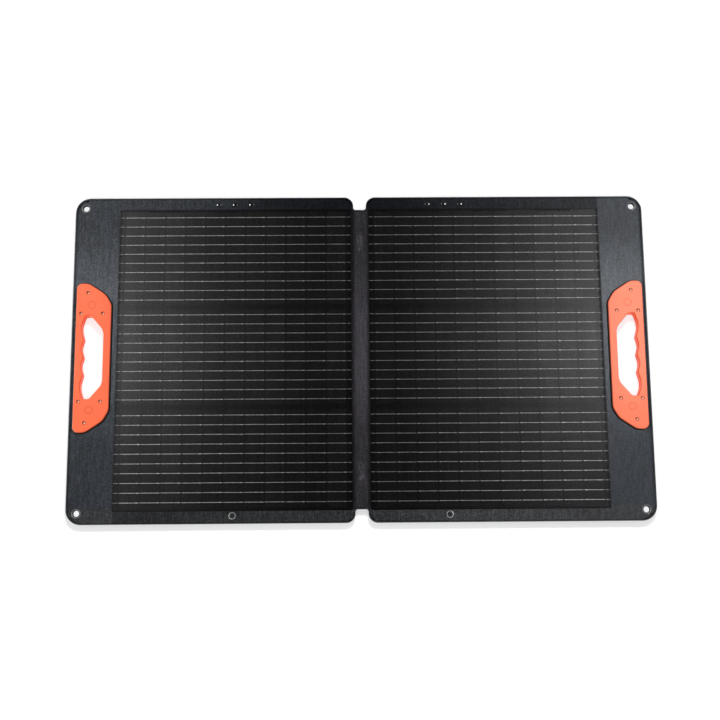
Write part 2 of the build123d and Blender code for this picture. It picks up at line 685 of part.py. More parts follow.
def build_snap_socket(side):
    """Snap socket pressed into the leg."""
    with BuildPart() as socket:
        with BuildSketch(level(LEG_Z0 + SOCKET_RECESS)):
            with Locations((LEG_X[side], SNAP_Y)):
                Circle(SOCKET_R)
                Circle(SOCKET_BORE_R, mode=Mode.SUBTRACT)
        extrude(amount=LEG_T - SOCKET_RECESS)
        top_rims = socket.edges().filter_by(GeomType.CIRCLE).group_by(Axis.Z)[-1]
        fillet(top_rims, radius=SOCKET_FILLET)
    save(socket, f"{side}_snap_socket")


# ------------------------------------------------------------------- the hinge
def build_hinge_tab(side):
    """The part of the hinge strip that is glued in under the board."""
    with BuildPart() as tab:
        with BuildSketch(level(Z_BACK)):
            with Locations((middle_x(side, TAB_IN, TAB_OUT), 0)):
                Rectangle(TAB_OUT - TAB_IN, 2 * HINGE_H)
        extrude(amount=T_REAR_FABRIC)
    save(tab, f"{side}_hinge_tab")


def build_spine():
    """Middle of the hinge, its long edges rolled round the fold lines."""
    with BuildPart() as spine:
        with BuildSketch(upright(HINGE_H)):
            with Locations((0, FOLD_Z)):
                SlotCenterToCenter(2 * FOLD_X, T_SPINE)
        extrude(amount=2 * HINGE_H)
    save(spine, "hinge_spine")


def build_braids():
    """Flat copper braids that carry the current over the hinge, on the spine."""
    with BuildPart() as braids:
        with BuildSketch(level(FOLD_Z + T_SPINE / 2)):
            with Locations((0, BRAID_Y), (0, -BRAID_Y)):
                Rectangle(2 * (FOLD_X - BRAID_MARGIN), BRAID_L)
        extrude(amount=BRAID_T)
    save(braids, "hinge_braids")


# ------------------------------------------------------------ the junction box
def build_tray():
    """Tray against the panel back, open towards its lid."""
    with BuildPart() as tray:
        with BuildSketch(level(TRAY_Z)):
            with Locations((BOX_X, BOX_Y)):
                RectangleRounded(BOX_W, BOX_H, BOX_CORNER_R)
        extrude(amount=Z_BACK - TRAY_Z)
        # cavity, leaving a post round each lid screw
        with BuildSketch(level(TRAY_Z)):
            with Locations((BOX_X, BOX_Y)):
                RectangleRounded(BOX_W - 2 * BOX_WALL, BOX_H - 2 * BOX_WALL, BOX_CAVITY_R)
                with Locations(*LID_SCREW_XY):
                    Circle(LID_POST_R, mode=Mode.SUBTRACT)
        extrude(amount=Z_BACK - TRAY_Z - BOX_FLOOR, mode=Mode.SUBTRACT)
        # pilot holes for the lid screws
        with BuildSketch(level(TRAY_Z)):
            with Locations((BOX_X, BOX_Y)):
                with Locations(*LID_SCREW_XY):
                    Circle(LID_PILOT_R)
        extrude(amount=LID_PILOT_DEPTH, mode=Mode.SUBTRACT)
        # circuit board standoffs
        with BuildSketch(level(PCB_Z + PCB_T)):
            with Locations((BOX_X, BOX_Y)):
                with Locations(*STANDOFF_XY):
                    Circle(STANDOFF_R)
        extrude(amount=Z_BACK - PCB_Z - PCB_T - BOX_FLOOR)
        # cable outlet in the lower wall
        with BuildSketch(upright(GLAND_Y - OUTLET_MARGIN)):
            with Locations((BOX_X, GLAND_Z)):
                Circle(OUTLET_R)
        extrude(amount=-(BOX_WALL + 2 * OUTLET_MARGIN), mode=Mode.SUBTRACT)
    save(tray, "junction_box_tray")


def build_lid():
    with BuildPart() as lid:
        with BuildSketch(level(BOX_Z0)):
            with Locations((BOX_X, BOX_Y)):
                RectangleRounded(BOX_W, BOX_H, BOX_CORNER_R)
        extrude(amount=LID_T)
        chamfer(lid.faces().sort_by(Axis.Z)[0].edges(), length=LID_CHAMFER)
        # counterbores, then through holes
        for radius, depth in ((LID_COUNTERBORE_R, LID_COUNTERBORE), (LID_HOLE_R, LID_T)):
            with BuildSketch(level(BOX_Z0)):
                with Locations((BOX_X, BOX_Y)):
                    with Locations(*LID_SCREW_XY):
                        Circle(radius)
            extrude(amount=depth, mode=Mode.SUBTRACT)
    save(lid, "junction_box_lid")


def build_gasket():
    inner_margin = 2 * (BOX_WALL - GASKET_INSET)
    with BuildPart() as gasket:
        with BuildSketch(level(BOX_Z0 + LID_T)):
            with Locations((BOX_X, BOX_Y)):
                RectangleRounded(BOX_W - 2 * GASKET_INSET, BOX_H - 2 * GASKET_INSET,
                                 BOX_CORNER_R - GASKET_INSET)
                RectangleRounded(BOX_W - inner_margin, BOX_H - inner_margin,
                                 BOX_CAVITY_R, mode=Mode.SUBTRACT)
                with Locations(*LID_SCREW_XY):
                    Circle(GASKET_HOLE_R, mode=Mode.SUBTRACT)
        extrude(amount=GASKET_T)
    save(gasket, "junction_box_gasket")


def build_lid_screws():
    seat_z = BOX_Z0 + LID_COUNTERBORE
    head_z = seat_z - LID_HEAD_T
    with BuildPart() as screws:
        for z, radius, length in ((seat_z, LID_SCREW_R, LID_SCREW_L),
                                  (head_z, LID_HEAD_R, LID_HEAD_T)):
            with BuildSketch(level(z)):
                with Locations((BOX_X, BOX_Y)):
                    with Locations(*LID_SCREW_XY):
                        Circle(radius)
            extrude(amount=length)
        with BuildSketch(level(head_z)):
            with Locations((BOX_X, BOX_Y)):
                with Locations(*LID_SCREW_XY):
                    Rectangle(LID_CROSS_L, LID_CROSS_W)
                    Rectangle(LID_CROSS_W, LID_CROSS_L)
        extrude(amount=LID_CROSS_DEPTH, mode=Mode.SUBTRACT)
    save(screws, "junction_lid_screws")


def build_circuit_board():
    """Circuit board with its bypass and blocking diodes."""
    with BuildPart() as circuit:
        with BuildSketch(level(PCB_Z)):
            with Locations((BOX_X, BOX_Y)):
                RectangleRounded(PCB_W, PCB_H, PCB_CORNER_R)
        extrude(amount=PCB_T)
        with BuildSketch(level(PCB_Z - COMPONENT_H)):
            for width, height, places in COMPONENTS:
                with Locations(*[(BOX_X + dx, BOX_Y + dy) for dx, dy in places]):
                    Rectangle(width, height)
        extrude(amount=COMPONENT_H)
    save(circuit, "junction_circuit_board")


# ------------------------------------------------------- output cable and plug
def build_gland():
    """Cable gland: body outside the box's lower wall, neck through it."""
    with BuildPart() as gland:
        for radius, length in ((GLAND_R, GLAND_L), (GLAND_NECK_R, -GLAND_NECK_L)):
            with BuildSketch(upright(GLAND_Y)):
                with Locations((BOX_X, GLAND_Z)):
                    Circle(radius)
                    Circle(GLAND_BORE_R, mode=Mode.SUBTRACT)
            extrude(amount=length)
    save(gland, "cable_gland")


def build_cable():
    """Out of the gland towards -Y, round one turn and back up to the plug."""
    start = (BOX_X, CABLE_START_Y, GLAND_Z)
    turn_start = (BOX_X, CABLE_TURN_Y, GLAND_Z)
    turn_end = (PLUG_X, CABLE_TURN_Y, GLAND_Z)
    turn_r = (BOX_X - PLUG_X) / 2
    with BuildPart() as cable:
        with BuildLine():
            Polyline(start, turn_start)
            ThreePointArc(turn_start, (BOX_X - turn_r, CABLE_TURN_Y - turn_r, GLAND_Z), turn_end)
            Line(turn_end, (PLUG_X, PLUG_Y0 + CABLE_IN_PLUG, GLAND_Z))
        with BuildSketch(Plane(origin=start, x_dir=(1, 0, 0), z_dir=(0, -1, 0))):
            Circle(CABLE_R)
        sweep()
    save(cable, "output_cable")


def build_clips():
    """Saddle clips over the cable."""
    z = GLAND_Z
    foot_z = Z_BACK - CLIP_FOOT_T
    with BuildPart() as clips:
        for x, y in CLIP_XY:
            foot_left, foot_right = x - CLIP_FOOT_X, x + CLIP_FOOT_X
            out_left, out_right = x - CLIP_OUT_R, x + CLIP_OUT_R
            in_left, in_right = x - CLIP_IN_R, x + CLIP_IN_R
            with BuildSketch(upright(y - CLIP_L / 2)):
                with BuildLine():
                    Polyline((foot_left, Z_BACK), (foot_left, foot_z), (out_left, foot_z),
                             (out_left, z))
                    ThreePointArc((out_left, z), (x, z - CLIP_OUT_R), (out_right, z))
                    Polyline((out_right, z), (out_right, foot_z), (foot_right, foot_z),
                             (foot_right, Z_BACK), (in_right, Z_BACK), (in_right, z))
                    ThreePointArc((in_right, z), (x, z - CLIP_IN_R), (in_left, z))
                    Polyline((in_left, z), (in_left, Z_BACK), (foot_left, Z_BACK))
                make_face()
            extrude(amount=-CLIP_L)
    save(clips, "cable_clips")


def build_plug_body():
    """Moulded plug body with grip grooves."""
    with BuildPart() as plug:
        with BuildSketch(upright(PLUG_Y0)):
            with Locations((PLUG_X, PLUG_Z)):
                Circle(PLUG_R)
        extrude(amount=-PLUG_L)
        fillet(plug.edges().filter_by(GeomType.CIRCLE), radius=PLUG_FILLET)
        for k in range(GROOVES):
            with BuildSketch(upright(PLUG_Y0 + GROOVE_Y0 + GROOVE_PITCH * k)):
                with Locations((PLUG_X, PLUG_Z)):
                    Circle(GROOVE_OUT_R)
                    Circle(GROOVE_IN_R, mode=Mode.SUBTRACT)
            extrude(amount=-GROOVE_W, mode=Mode.SUBTRACT)
        # socket for the cable end
        with BuildSketch(upright(PLUG_Y0)):
            with Locations((PLUG_X, GLAND_Z)):
                Circle(CABLE_R + PLUG_SOCKET_CLEAR)
        extrude(amount=-PLUG_SOCKET_DEPTH, mode=Mode.SUBTRACT)
    save(plug, "output_plug_body")


def build_plug_barrel():
    """Barrel at the plug's +Y end, with a thin rod on its axis."""
    with BuildPart() as barrel:
        with BuildSketch(upright(PLUG_Y0 + PLUG_L)):
            with Locations((PLUG_X, PLUG_Z)):
                Circle(BARREL_TIP_R)
                Circle(BARREL_TIP_BORE_R, mode=Mode.SUBTRACT)
        extrude(amount=-BARREL_TIP_L)
        with BuildSketch(upright(PLUG_Y0 + PLUG_L)):
            with Locations((PLUG_X, PLUG_Z)):
                Circle(CENTRE_ROD_R)
        extrude(amount=-CENTRE_ROD_L)
    save(barrel, "output_plug_barrel")


# ------------------------------------------------------------------- all parts
SIDE_BUILDERS = (
    build_sheets, build_encapsulant, build_cells, build_ribbons, build_end_conductors,
    build_film, build_handle_front, build_handle_rear, build_handle_screws,
    build_turned_fittings, build_washers, build_bracket, build_pin, build_brace,
    build_hinge_tab, build_leg, build_foot, build_snap_socket,
)
SINGLE_BUILDERS = (
    build_spine, build_braids, build_tray, build_lid, build_gasket, build_lid_screws,
    build_circuit_board, build_gland, build_cable, build_clips, build_plug_body,
    build_plug_barrel,
)

for side_name in SIGN:
    for build in SIDE_BUILDERS:
        build(side_name)
for build in SINGLE_BUILDERS:
    build()
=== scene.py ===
# Folding solar panel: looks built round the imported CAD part. Metres, CAD frame.
import bpy
import bmesh
import json
import math
import numpy as np
from mathutils import Vector, Matrix
from mathutils.geometry import delaunay_2d_cdt


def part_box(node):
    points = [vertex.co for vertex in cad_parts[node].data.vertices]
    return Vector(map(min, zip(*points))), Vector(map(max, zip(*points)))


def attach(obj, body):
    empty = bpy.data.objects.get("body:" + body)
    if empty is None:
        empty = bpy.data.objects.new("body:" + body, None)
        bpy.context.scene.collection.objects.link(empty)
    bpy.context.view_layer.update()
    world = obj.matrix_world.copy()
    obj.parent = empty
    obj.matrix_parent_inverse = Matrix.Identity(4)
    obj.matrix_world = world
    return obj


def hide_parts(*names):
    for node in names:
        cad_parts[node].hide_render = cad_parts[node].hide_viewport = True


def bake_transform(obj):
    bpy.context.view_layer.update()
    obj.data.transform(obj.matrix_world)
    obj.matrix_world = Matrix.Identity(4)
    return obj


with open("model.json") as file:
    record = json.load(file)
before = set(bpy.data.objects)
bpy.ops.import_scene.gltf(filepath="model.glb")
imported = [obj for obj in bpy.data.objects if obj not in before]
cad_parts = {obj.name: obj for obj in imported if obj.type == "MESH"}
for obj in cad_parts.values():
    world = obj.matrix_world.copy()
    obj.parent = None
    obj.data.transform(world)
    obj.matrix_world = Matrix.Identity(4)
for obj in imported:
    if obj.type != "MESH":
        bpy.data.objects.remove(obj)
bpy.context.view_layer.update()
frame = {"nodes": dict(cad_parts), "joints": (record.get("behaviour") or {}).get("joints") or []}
nodes = frame["nodes"]
MM = 0.001


# ------------------------------------------------------------------ materials
class Mat:
    """A node material; coordinates are the rest position in metres."""

    def __init__(self, name, attr=None):
        self.m = bpy.data.materials.new(name)
        self.m.use_nodes = True
        self.t = self.m.node_tree
        self.t.nodes.clear()
        out = self.t.nodes.new("ShaderNodeOutputMaterial")
        self.b = self.t.nodes.new("ShaderNodeBsdfPrincipled")
        self.t.links.new(self.b.outputs[0], out.inputs[0])
        if attr:
            a = self.t.nodes.new("ShaderNodeAttribute")
            a.attribute_name = attr
            self.co = a.outputs["Vector"]
        else:
            self.co = self.t.nodes.new("ShaderNodeTexCoord").outputs["Object"]
        s = self.t.nodes.new("ShaderNodeSeparateXYZ")
        self.t.links.new(self.co, s.inputs[0])
        self.x, self.y, self.z = s.outputs

    def put(self, socket, v):
        if isinstance(v, bpy.types.NodeSocket):
            self.t.links.new(v, socket)
        elif isinstance(v, (tuple, list)) and len(v) == 3 and socket.type == "RGBA":
            socket.default_value = (*v, 1)
        else:
            socket.default_value = v

    def f(self, op, a, b=0.0, c=0.0, clamp=False):
        n = self.t.nodes.new("ShaderNodeMath")
        n.operation = op
        n.use_clamp = clamp
        self.put(n.inputs[0], a)
        self.put(n.inputs[1], b)
        if len(n.inputs) > 2:
            self.put(n.inputs[2], c)
        return n.outputs[0]

    def add(self, a, b):
        return self.f("ADD", a, b)

    def sub(self, a, b):
        return self.f("SUBTRACT", a, b)

    def mul(self, a, b):
        return self.f("MULTIPLY", a, b)

    def stretch(self, sx, sy, sz, shift=(0, 0, 0)):
        n = self.t.nodes.new("ShaderNodeMapping")
        self.put(n.inputs["Vector"], self.co)
        n.inputs["Scale"].default_value = (sx, sy, sz)
        n.inputs["Location"].default_value = shift
        return n.outputs[0]

    def noise(self, scale, detail=3.0, rough=0.55, s=(1, 1, 1), shift=(0, 0, 0)):
        n = self.t.nodes.new("ShaderNodeTexNoise")
        n.noise_dimensions = "3D"
        self.put(n.inputs["Vector"], self.stretch(*s, shift=shift))
        n.inputs["Scale"].default_value = scale
        n.inputs["Detail"].default_value = detail
        n.inputs["Roughness"].default_value = rough
        return n.outputs["Fac"]

    def cells(self, scale, s=(1, 1, 1), out="Distance"):
        n = self.t.nodes.new("ShaderNodeTexVoronoi")
        self.put(n.inputs["Vector"], self.stretch(*s))
        n.inputs["Scale"].default_value = scale
        return n.outputs[out]

    def span(self, v, a, b, lo=0.0, hi=1.0, smooth=False):
        n = self.t.nodes.new("ShaderNodeMapRange")
        n.clamp = True
        if smooth:
            n.interpolation_type = "SMOOTHSTEP"
        self.put(n.inputs[0], v)
        for i, x in zip((1, 2, 3, 4), (a, b, lo, hi)):
            self.put(n.inputs[i], x)
        return n.outputs[0]

    def mix(self, t, a, b):
        n = self.t.nodes.new("ShaderNodeMix")
        n.data_type = "RGBA"
        self.put(n.inputs["Factor"], t)
        self.put(n.inputs[6], a)
        self.put(n.inputs[7], b)
        return n.outputs[2]

    def scale(self, c, k):
        n = self.t.nodes.new("ShaderNodeVectorMath")
        n.operation = "SCALE"
        self.put(n.inputs[0], c)
        self.put(n.inputs["Scale"], k)
        return n.outputs[0]

    def rand(self, v):
        n = self.t.nodes.new("ShaderNodeTexWhiteNoise")
        n.noise_dimensions = "1D"
        self.put(n.inputs["W"], v)
        return n.outputs["Value"]

    def bump(self, h, depth, strength=1.0, under=None):
        """h 0..1, depth in metres."""
        n = self.t.nodes.new("ShaderNodeBump")
        n.inputs["Strength"].default_value = strength
        n.inputs["Distance"].default_value = depth
        self.put(n.inputs["Height"], h)
        if under is not None:
            self.put(n.inputs["Normal"], under)
        return n.outputs[0]

    def done(self, color, rough, normal=None, metal=0.0, spec=0.5, **more):
        self.put(self.b.inputs["Base Color"], color)
        self.put(self.b.inputs["Roughness"], rough)
        self.put(self.b.inputs["Metallic"], metal)
        self.put(self.b.inputs["Specular IOR Level"], spec)
        if normal is not None:
            self.put(self.b.inputs["Normal"], normal)
        for k, v in more.items():
            self.put(self.b.inputs[k.replace("_", " ")], v)
        return self.m


def woven(name, dark, light, attr=None, pitch=0.9, streak=1.0, sheen=0.0, spec=0.5,
          rough=0.50, blotch=0.25, along="y", flecks=0.5, front=False):
    """Coated oxford cloth: fine plain weave, slubs along one way, dust and rubbing; on the front, painted sheen and
    painted shade by position.
    """
    m = Mat(name, attr)
    k = 2 * math.pi / (pitch * MM)
    wx = m.f("SINE", m.mul(m.x, k))
    wy = m.f("SINE", m.mul(m.y, k * 0.93))
    weave = m.span(m.mul(wx, wy), -1, 1)
    slub_s = (1, 0.09, 1) if along == "y" else (0.09, 1, 1)
    slub = m.noise(620, 3, 0.6, s=slub_s)
    slub2 = m.noise(210, 2, 0.5, s=(1, 0.16, 1) if along == "y" else (0.16, 1, 1), shift=(3, 1, 0))
    cross = m.noise(540, 2, 0.6, s=(0.12, 1, 1) if along == "y" else (1, 0.12, 1), shift=(0, 7, 0))
    blot = m.noise(9, 3, 0.5)
    fleck = m.span(m.noise(430, 2, 0.7, shift=(5, 2, 1)), 0.63, 0.78)
    t = m.add(m.mul(weave, 0.16), m.mul(m.span(slub, 0.3, 0.7), 0.40 * streak))
    t = m.add(t, m.mul(m.span(slub2, 0.3, 0.7), 0.25 * streak))
    t = m.add(t, m.mul(m.span(cross, 0.3, 0.7), 0.10))
    t = m.add(t, m.mul(m.sub(blot, 0.5), blotch * 2))
    t = m.add(t, m.mul(fleck, 0.35 * flecks))
    if front:
        dust = m.span(m.noise(560, 2, 0.75, shift=(1, 6, 2)), 0.40, 0.66)
        t = m.add(m.mul(t, 0.75), m.sub(m.mul(dust, 0.85), 0.22))
    color = m.mix(m.f("MULTIPLY", t, 1.0, clamp=True), dark, light)
    if front:
        # painted sheen: outer margins lighter and glossier towards the side lamps, brightest a little above the middle;
        # painted shade on the cloth next to the hinge
        ax = m.f("ABSOLUTE", m.x)
        inner = m.span(ax, 0.462, 0.456, smooth=True)
        top = m.span(m.y, 0.280, 0.288, smooth=True)
        low = m.span(m.y, -0.280, -0.288, smooth=True)
        top_k = m.f("MAXIMUM", m.span(m.x, -0.29, -0.17, 0.64, 0.21), m.span(m.x, 0.04, 0.25, 0.19, 0.34))
        low_k = m.f("MINIMUM", m.span(m.x, -0.46, 0.15, 0.40, 0.84), m.span(m.x, 0.28, 0.46, 0.90, 0.62))
        top_g = m.f("MAXIMUM", m.span(m.x, -0.29, -0.17, 0.92, 0.58), m.span(m.x, 0.05, 0.43, 0.74, 0.46))
        low_g = m.span(m.x, -0.45, 0.20, 0.62, 1.10)
        sheen_band = m.mul(m.span(m.y, 0.26, 0.12, smooth=True), m.span(m.y, -0.18, 0.01, smooth=True))
        side_k = m.mul(m.add(0.78, m.mul(sheen_band, 0.70)), m.span(m.x, -0.1, 0.1, 1.0, 1.12))
        k = m.add(m.mul(top, top_k), m.mul(low, low_k))
        g = m.add(m.mul(top, top_g), m.mul(low, low_g))
        k = m.add(m.mul(inner, k), m.mul(m.sub(1.0, inner), side_k))
        g = m.add(m.mul(inner, g), m.mul(m.sub(1.0, inner), side_k))
        dots = m.span(m.noise(300, 2, 0.65, shift=(6, 2, 5)), 0.36, 0.66, 0.66, 1.40)
        lines = m.span(m.noise(330, 2, 0.6, s=(1, 0.10, 1), shift=(2, 8, 1)), 0.36, 0.66, 0.74, 1.28)
        soft = m.mul(m.sub(1.0, inner), m.span(m.x, -0.1, 0.1, 0.15, 0.50))
        dots = m.add(m.mul(m.mul(dots, lines), m.sub(1.0, soft)), soft)
        k, g = m.mul(k, dots), m.mul(g, m.add(0.4, m.mul(dots, 0.6)))
        # hinge cloth: painted shade towards its two sides and its ends, lighter in the middle; lighter mottled patches
        # at y = ±220 mm
        strip = m.span(ax, 0.0175, 0.0165)
        bx = m.f("ABSOLUTE", m.sub(m.x, m.span(m.y, -0.10, 0.25, 0.0, 0.0018)))
        strip_side_shade = m.span(bx, 0.0165, 0.0080, 0.30, 1.0, smooth=True)
        mid = m.span(m.f("ABSOLUTE", m.sub(m.y, 0.01)), 0.22, 0.02, 0.72, 1.35, smooth=True)
        ends = m.span(m.f("ABSOLUTE", m.y), 0.2885, 0.2835)
        body = m.mul(m.mul(m.mul(strip_side_shade, mid), 0.69), m.add(0.4, m.mul(dots, 0.6)))
        patch = m.span(m.f("ABSOLUTE", m.sub(m.f("ABSOLUTE", m.y), 0.220)), 0.024, 0.012, smooth=True)
        rub = m.span(m.noise(330, 3, 0.7, s=(1, 0.35, 1), shift=(8, 1, 2)), 0.42, 0.62)
        patch = m.mul(m.mul(patch, m.span(ax, 0.0075, 0.0035, smooth=True)), rub)
        body = m.add(body, m.mul(patch, 0.9))
        t_s = m.mul(strip, ends)
        k = m.add(m.mul(k, m.sub(1.0, t_s)), m.mul(body, t_s))
        color = m.scale(color, k)
        grey = m.t.nodes.new("ShaderNodeHueSaturation")
        m.put(grey.inputs["Color"], color)
        m.put(grey.inputs["Saturation"], m.sub(1.0, m.f("MAXIMUM", m.mul(t_s, 0.85), m.mul(low, 0.65))))
        color = m.mix(m.mul(t_s, 0.35), grey.outputs[0], m.scale(m.mix(0.0, (0.052, 0.045, 0.058), (0, 0, 0)), k))
        spec = m.mul(m.span(ax, 0.04, 0.47, 0.04, spec), g)
    n1 = m.bump(weave, 0.00005, 0.5)
    n2 = m.bump(m.add(slub, m.mul(cross, 0.5)), 0.00012, 0.6, under=n1)
    n2 = m.bump(m.noise(240, 3, 0.7, s=(1, 0.5, 1), shift=(1, 9, 3)), 0.00014, 0.6, under=n2)
    r = m.add(rough - 0.08, m.mul(m.noise(60, 3), 0.16))
    return m.done(color, r, n2, spec=spec, Sheen_Weight=sheen, Sheen_Roughness=0.5,
                  Sheen_Tint=(0.8, 0.85, 0.95))


def film_material():
    """Embossed front sheet over dark cell strips, with painted sheen growing towards the outer side."""
    m = Mat("front_film_embossed", "rest")
    ax = m.f("ABSOLUTE", m.x)
    u = m.f("DIVIDE", m.sub(ax, 26.44 * MM), 38.4 * MM)
    strip = m.f("FLOOR", u)
    fr = m.mul(m.f("FRACT", u), 38.4)
    side = m.f("MINIMUM", fr, m.sub(38.4, fr))              # mm to the gap's middle
    in_x = m.mul(m.span(side, 0.75, 1.25, smooth=True),
                 m.mul(m.span(ax, 26.9 * MM, 27.6 * MM), m.span(ax, 448.4 * MM, 447.8 * MM)))
    rows = None
    for y0 in (191.65, 0.25, -191.6):
        d = m.f("ABSOLUTE", m.sub(m.y, y0 * MM))
        r = m.span(d, 91.4 * MM, 90.6 * MM)
        rows = r if rows is None else m.add(rows, r)
    corner = None
    for yc in (282.6, 100.65, 91.2, -90.75, -100.6, -282.6):
        for xc in (448.84, 256.84, 64.84):
            d = m.add(m.f("ABSOLUTE", m.sub(ax, xc * MM)), m.f("ABSOLUTE", m.sub(m.y, yc * MM)))
            c = m.span(d, 7.9 * MM, 7.1 * MM)
            corner = c if corner is None else m.f("MAXIMUM", corner, c)
    cell = m.mul(m.mul(in_x, rows), m.sub(1.0, corner))
    tone = m.add(0.82, m.mul(m.rand(m.add(strip, m.mul(m.f("SIGN", m.x), 31.7))), 0.36))
    slub = m.noise(520, 3, 0.65, s=(1, 0.07, 1))
    grain = m.noise(900, 2, 0.7)
    wide = m.noise(150, 2, 0.5, s=(1, 0.05, 1), shift=(2, 0, 0))
    t = m.add(m.mul(m.span(slub, 0.32, 0.70), 0.62), m.mul(m.span(grain, 0.35, 0.7), 0.22))
    t = m.add(t, m.mul(m.span(wide, 0.35, 0.65), 0.30))
    speck = m.span(m.noise(340, 2, 0.75, shift=(4, 4, 1)), 0.50, 0.72)
    t = m.add(m.mul(t, 0.80), m.mul(speck, 1.0))
    # painted sheen: the sheet lighter and glossier towards the outer side and in the upper rows, darker at the bottom
    far = m.f("POWER", m.span(ax, 0.04, 0.47), m.span(m.x, -0.1, 0.1, 2.0, 1.42))
    rows_k = m.mul(m.span(m.y, -0.24, -0.04, 0.80, 1.42), m.span(m.y, 0.04, 0.20, 1.0, 0.67))
    far = m.mul(far, rows_k)
    outer = m.mul(m.add(0.50, m.mul(far, 1.25)), m.span(m.y, -0.24, -0.06, 0.84, 1.0))
    body = m.mix(m.mul(t, 0.8), (0.0035, 0.0035, 0.0036), (0.0150, 0.0150, 0.0152))
    body = m.scale(body, m.mul(tone, outer))
    back = m.mix(t, (0.0024, 0.0024, 0.0029), (0.0080, 0.0080, 0.0090))
    back = m.scale(back, outer)
    color = m.mix(cell, back, body)
    k = 2 * math.pi / (1.1 * MM)
    emb = m.span(m.mul(m.f("SINE", m.mul(m.x, k)), m.f("SINE", m.mul(m.y, k))), -1, 1)
    n = m.bump(m.mul(cell, 1.0), 0.00006, 0.5)
    n = m.bump(emb, 0.00003, 0.5, under=n)
    n = m.bump(m.add(slub, grain), 0.00010, 0.6, under=n)
    r = m.add(0.33, m.mul(m.noise(45, 3, s=(1, 0.3, 1)), 0.14))
    gl = m.add(0.048, m.mul(far, m.span(m.x, -0.1, 0.1, 0.52, 0.45)))
    return m.done(color, r, n, spec=m.mul(gl, m.add(0.90, m.mul(m.sub(speck, 0.35), 0.35))))


def line_material():
    """Ribbon seen through the film: bright, broken by the emboss, with painted glints at the solder dots and painted
    sheen growing towards the outer side.
    """
    m = Mat("busbar_line", "rest")
    ax = m.f("ABSOLUTE", m.x)
    along = m.noise(360, 2, 0.7, s=(1, 4, 1))
    fine = m.noise(900, 2, 0.6, s=(1, 3, 1), shift=(1, 4, 0))
    v = m.add(m.mul(m.span(along, 0.36, 0.68), 0.65), m.mul(m.span(fine, 0.4, 0.7), 0.35))
    u = m.f("DIVIDE", m.sub(ax, 26.44 * MM), 38.4 * MM)
    fr = m.mul(m.f("FRACT", u), 38.4)
    # painted glints at the solder dots
    solder_glint = m.span(m.f("ABSOLUTE", m.sub(fr, 4.6)), 2.2, 0.9)
    # painted sheen: lighter towards the outer side
    outer = m.span(ax, 0.06, 0.45, 0.40, 1.25)
    lead = m.mul(m.span(ax, 0.4500, 0.4475), m.span(ax, 0.0235, 0.0265, 0.8, 1.0))
    k = m.mul(m.mul(m.add(0.5, m.mul(v, 0.75)), outer), m.add(0.42, m.mul(lead, 0.58)))
    k = m.mul(k, m.add(1.0, m.mul(solder_glint, 0.75)))
    color = m.scale(m.mix(v, (0.27, 0.27, 0.26), (0.42, 0.42, 0.41)), k)
    n = m.bump(m.add(along, fine), 0.0002, 0.5)
    return m.done(color, m.add(0.30, m.mul(fine, 0.3)), n, metal=0.25, spec=0.5)


